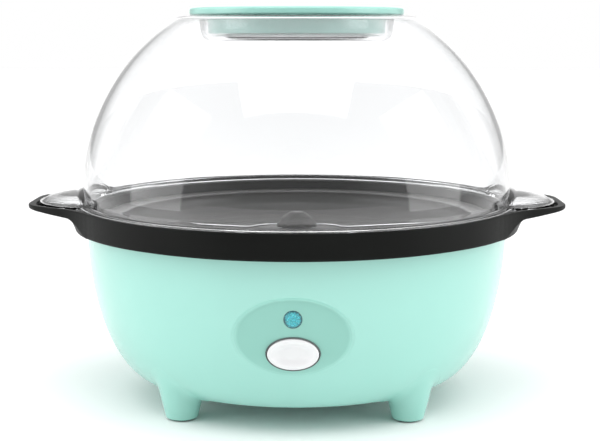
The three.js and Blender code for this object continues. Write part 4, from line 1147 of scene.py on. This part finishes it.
def make_spring():
    """The button's return spring: a helix about the button's axis that shortens as the button goes in."""
    turns, start, length = 4, -17.0, 9.2
    t = np.linspace(0, 1, turns * 20 + 1)
    line = np.stack([4.4 * np.cos(TURN * turns * t), 4.4 * np.sin(TURN * turns * t), start + length * t], -1)
    spot, out = panel_place(BUTTON["z"])
    coil = swept(off_panel(line, BUTTON["z"]), 0.4, 10, out)
    spring = Skin().add(coil).piece("return_spring", "stainless_wire", "base", "button_spring")
    travel = next(j for j in frame["joints"] if j["name"] == "button_press")["range_m"][1] / MM
    tuple(out)
    1 - travel / length
    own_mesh(spring)


def make_screws():
    """Pan-head screws with a cross cut in the head and a threaded shank, upright in place of the CAD
    ones."""
    sizes = {"cover_screw": (2.8, 1.2, 4), "ring_screw": (3.0, 1.2, 4), "shield_screw": (3.2, 1.4, 3),
             "motor_screw": (3.0, 1.4, 2)}
    a = round_angles(40)
    for kind, (head, shank, count) in sizes.items():
        for i in range(1, count + 1):
            node = f"{kind}_{i}"
            bottom, top = low(node, "Z"), high(node, "Z")
            seat = bottom + head * 0.7
            thread = np.arange(seat + 0.5, top - 1.6, 0.25)
            ridges = np.stack([shank - 0.12 + 0.12 * np.cos(TURN * (thread - seat) / 0.75), thread], -1)
            face = np.stack([np.linspace(0, head * 0.7, 9), bottom + 0 * np.linspace(0, 1, 9)], -1)
            rest = rounded([(head * 0.75, bottom), (head, seat - 0.8, 0.5), (head, seat, 0.2),
                            (shank, seat)], steps=3)
            shape = np.concatenate([face, rest, ridges, [(shank, top - 1.3), (0, top)]])
            body = turned(shape, a)
            x, y = body[..., 0], body[..., 1]
            arm = np.minimum(np.abs(x), np.abs(y)) < 0.4
            cut = arm & (np.hypot(x, y) < head * 0.55) & (body[..., 2] < bottom + 0.1)
            body[..., 2] += np.where(cut, 0.9, 0)
            middle = [0.5 * (low(node, axis) + high(node, axis)) for axis in "XY"]
            Skin().add(body + np.array([*middle, 0])).piece(
                f"{kind.replace('_', '_pan_head_')}_{i}", "zinc_screw", "base", node, crease=35)


def finish_cad_nodes():
    """Gives each CAD node that still shows the finish that the record names for it."""
    for row in frame["record"]["subparts"]:
        node = frame["nodes"][row["node"]]
        node.data.materials.clear()
        node.data.materials.append(FINISHES[row["material_slot"]]())


# ---------------------------------------------------------------- studio
CAMERA = {"aside": 0.0119, "turn": 0.83}    # metres to the right, and degrees to the left
SKY = {"front_to_back": (0.48, 1.35), "panel": 0.6, "side_watts": 5.0, "top_watts": 8.0}


def make_camera():
    sizes = bpy.context.scene.popcorn_sizes
    lens = bpy.data.cameras.new("camera")
    lens.lens, lens.sensor_width = sizes.camera_lens, 36
    camera = bpy.data.objects.new("camera", lens)
    camera.location = (CAMERA["aside"], -sizes.camera_distance, sizes.camera_height)
    camera.rotation_euler = (math.radians(90 - sizes.camera_pitch), 0, math.radians(CAMERA["turn"]))
    bpy.context.scene.collection.objects.link(camera)
    bpy.context.scene.camera = camera


def soft_box(name, place, target, width, height, power):
    data = bpy.data.lights.new(name, "AREA")
    data.shape, data.size, data.size_y, data.energy = "RECTANGLE", width, height, power
    light = bpy.data.objects.new(name, data)
    away = np.array(place) - np.array(target)
    light.location = place
    heading = math.atan2(away[0], -away[1])
    light.rotation_euler = (math.atan2(np.hypot(away[0], away[1]), away[2]), 0, heading)
    bpy.context.scene.collection.objects.link(light)


def make_backdrop(scene):
    """White all round for the camera. Everything else sees it bright above, behind and at the sides, dim in
    front, and with a grey panel at each side behind, which draws a fine grey edge along the clear dome."""
    world = bpy.data.worlds.new("studio")
    scene.world = world
    world.use_nodes = True
    sky = Nodes(world.node_tree)
    way = sky.node("ShaderNodeTexCoord", out="Generated")
    x, y, z = sky.parts(way)
    sideways = sky.node("ShaderNodeMath", {"operation": "ABSOLUTE"}, {0: x})
    off_panel_middle = sky.node("ShaderNodeMath", {"operation": "ABSOLUTE"}, {0: sideways - 0.5})
    panel = sky.between(off_panel_middle, 0.25, 0.15) * sky.between(y, 0.0, 0.2) * sky.between(z, 0.75, 0.5)
    strength = sky.between(y, -0.9, -0.05, *SKY["front_to_back"]) * (1 - SKY["panel"] * panel)
    light = sky.node("ShaderNodeBackground", None, {"Color": (1.0, 1.0, 1.0), "Strength": strength})
    white = sky.node("ShaderNodeBackground", None, {"Color": (1.0, 1.0, 1.0), "Strength": 1.0})
    seen = sky.node("ShaderNodeLightPath", out="Is Camera Ray")
    both = sky.node("ShaderNodeMixShader", None, {0: seen, 1: light, 2: white})
    sky.tree.links.new(both.socket, sky.tree.nodes["World Output"].inputs["Surface"])


def make_stage():
    """A white floor, a bright even backdrop and soft boxes at both sides and above."""
    scene = bpy.context.scene
    scene.view_settings.view_transform = "Standard"
    half = 6.0
    corners = np.array([[[x, y, 0] for x in (-half, half)] for y in (-half, half)]) / MM
    mesh = Skin().add(corners, wrap=False).mesh("floor")
    white = tuple(colours().floor)
    paint = Paint("floor_paper", white, roughness=0.8)
    paint.set("Base Color", paint.mix(paint.noise(5, 2), shade(white, 0.99), white))
    paint.shader.inputs["Specular IOR Level"].default_value = 0.1
    mesh.materials.append(paint.material)
    floor = bpy.data.objects.new("floor", mesh)
    scene.collection.objects.link(floor)
    make_backdrop(scene)
    middle = (0, 0, 0.1)
    soft_box("left_box", (-1.3, -0.35, 0.55), middle, 0.9, 1.2, SKY["side_watts"])
    soft_box("right_box", (1.3, -0.35, 0.55), middle, 0.9, 1.2, SKY["side_watts"])
    soft_box("top_box", (0, -0.55, 1.4), middle, 1.3, 1.0, SKY["top_watts"])


# ---------------------------------------------------------------- add-on
class PopcornSizes(bpy.types.PropertyGroup):
    """Sizes that can be changed without touching the frame."""

    dome_wall: FloatProperty(name="Dome wall", description="Thickness of the clear dome", default=0.0022,
                             min=0.0015, max=0.003, unit="LENGTH", precision=4)
    button_dish: FloatProperty(name="Button dish", description="Depth of the finger dish in the button",
                               default=0.0019, min=0.0, max=0.0025, unit="LENGTH", precision=4)
    camera_distance: FloatProperty(name="Camera distance", description="Camera in front of the drive shaft",
                                   default=0.7, unit="LENGTH")
    camera_height: FloatProperty(name="Camera height", description="Camera above the floor", default=0.1976,
                                 unit="LENGTH", precision=4)
    camera_pitch: FloatProperty(name="Camera pitch", description="Degrees that the camera looks down",
                                default=8.42)
    camera_lens: FloatProperty(name="Camera lens", description="Focal length in millimetres", default=76.71)


def colour_property(name, description, default):
    return FloatVectorProperty(name=name, description=description, default=default, subtype="COLOR", size=3,
                               min=0.0, max=1.0)


class PopcornColours(bpy.types.PropertyGroup):
    """Colours of the finishes that show most."""

    mint: colour_property("Mint", "Housing and cap", (0.33, 0.655, 0.575))
    rim: colour_property("Rim", "Rim and handles", (0.004, 0.0045, 0.004))
    dome: colour_property("Dome", "Tint of the clear dome", (0.99, 0.995, 1.0))
    coating: colour_property("Coating", "Pan's non-stick coating", (0.035, 0.034, 0.033))
    button: colour_property("Button", "Push button", (0.8, 0.8, 0.81))
    lamp: colour_property("Lamp", "Lamp's cover", (0.07, 0.62, 0.7))
    floor: colour_property("Floor", "Studio floor", (0.94, 0.94, 0.94))


def operator(tail, label, words, make):
    """An Operator class that makes one piece or one group of like pieces."""

    def execute(self, context):
        make()
        return {"FINISHED"}

    body = {"bl_idname": f"popcorn.{tail}", "bl_label": label, "__doc__": words, "execute": execute}
    return type(f"POPCORN_OT_{tail}", (bpy.types.Operator,), body)


OPERATORS = (
    operator("camera", "Camera", "Place the camera", make_camera),
    operator("housing", "Bowl housing", "Make the bowl-shaped housing with its feet", make_housing),
    operator("rubber_feet", "Rubber feet", "Make the four foot pads", make_rubber_feet),
    operator("rim", "Rim and handles", "Make the black rim with its tray handles", make_rim),
    operator("pan", "Pan", "Make the coated pan", make_pan),
    operator("spindle", "Spindle", "Make the drive shaft and its bearing", make_spindle),
    operator("stirrer", "Stirrer", "Make the hub and the two wire arms", make_stirrer),
    operator("dome", "Dome", "Make the clear dome with its well and tabs", make_dome),
    operator("cap", "Cap", "Make the measuring cap", make_cap),
    operator("button", "Button", "Make the push button and its trim", make_button),
    operator("lens", "Lamp window", "Make the lamp's pebbled cover", make_lens),
    operator("cord_bush", "Cord grommet", "Make the grommet in the cord's hole", make_cord_bush),
    operator("spring", "Spring", "Make the button's return spring", make_spring),
    operator("screws", "Screws", "Make the upright screws", make_screws),
    operator("inner_pieces", "Inner pieces", "Give the inner pieces their finishes", finish_cad_nodes),
    operator("stage", "Stage", "Make the floor, the backdrop and the lights", make_stage),
)


class POPCORN_PT_panel(bpy.types.Panel):
    """Lists the pieces in the 3D view's sidebar."""

    bl_label = "Popcorn maker"
    bl_space_type = "VIEW_3D"
    bl_region_type = "UI"
    bl_category = "Popcorn"

    def draw(self, context):
        for group in (context.scene.popcorn_sizes, context.scene.popcorn_colours):
            for name in group.__annotations__:
                self.layout.prop(group, name)
        for made in OPERATORS:
            self.layout.operator(made.bl_idname)


CLASSES = (PopcornSizes, PopcornColours, *OPERATORS, POPCORN_PT_panel)


def register():
    for cls in CLASSES:
        bpy.utils.register_class(cls)
    bpy.types.Scene.popcorn_sizes = PointerProperty(type=PopcornSizes)
    bpy.types.Scene.popcorn_colours = PointerProperty(type=PopcornColours)


def unregister():
    del bpy.types.Scene.popcorn_colours
    del bpy.types.Scene.popcorn_sizes
    for cls in reversed(CLASSES):
        bpy.utils.unregister_class(cls)


def main():
    register()
    for made in OPERATORS:
        getattr(bpy.ops.popcorn, made.bl_idname.split(".")[1])()


if __name__ == "__main__":
    main()
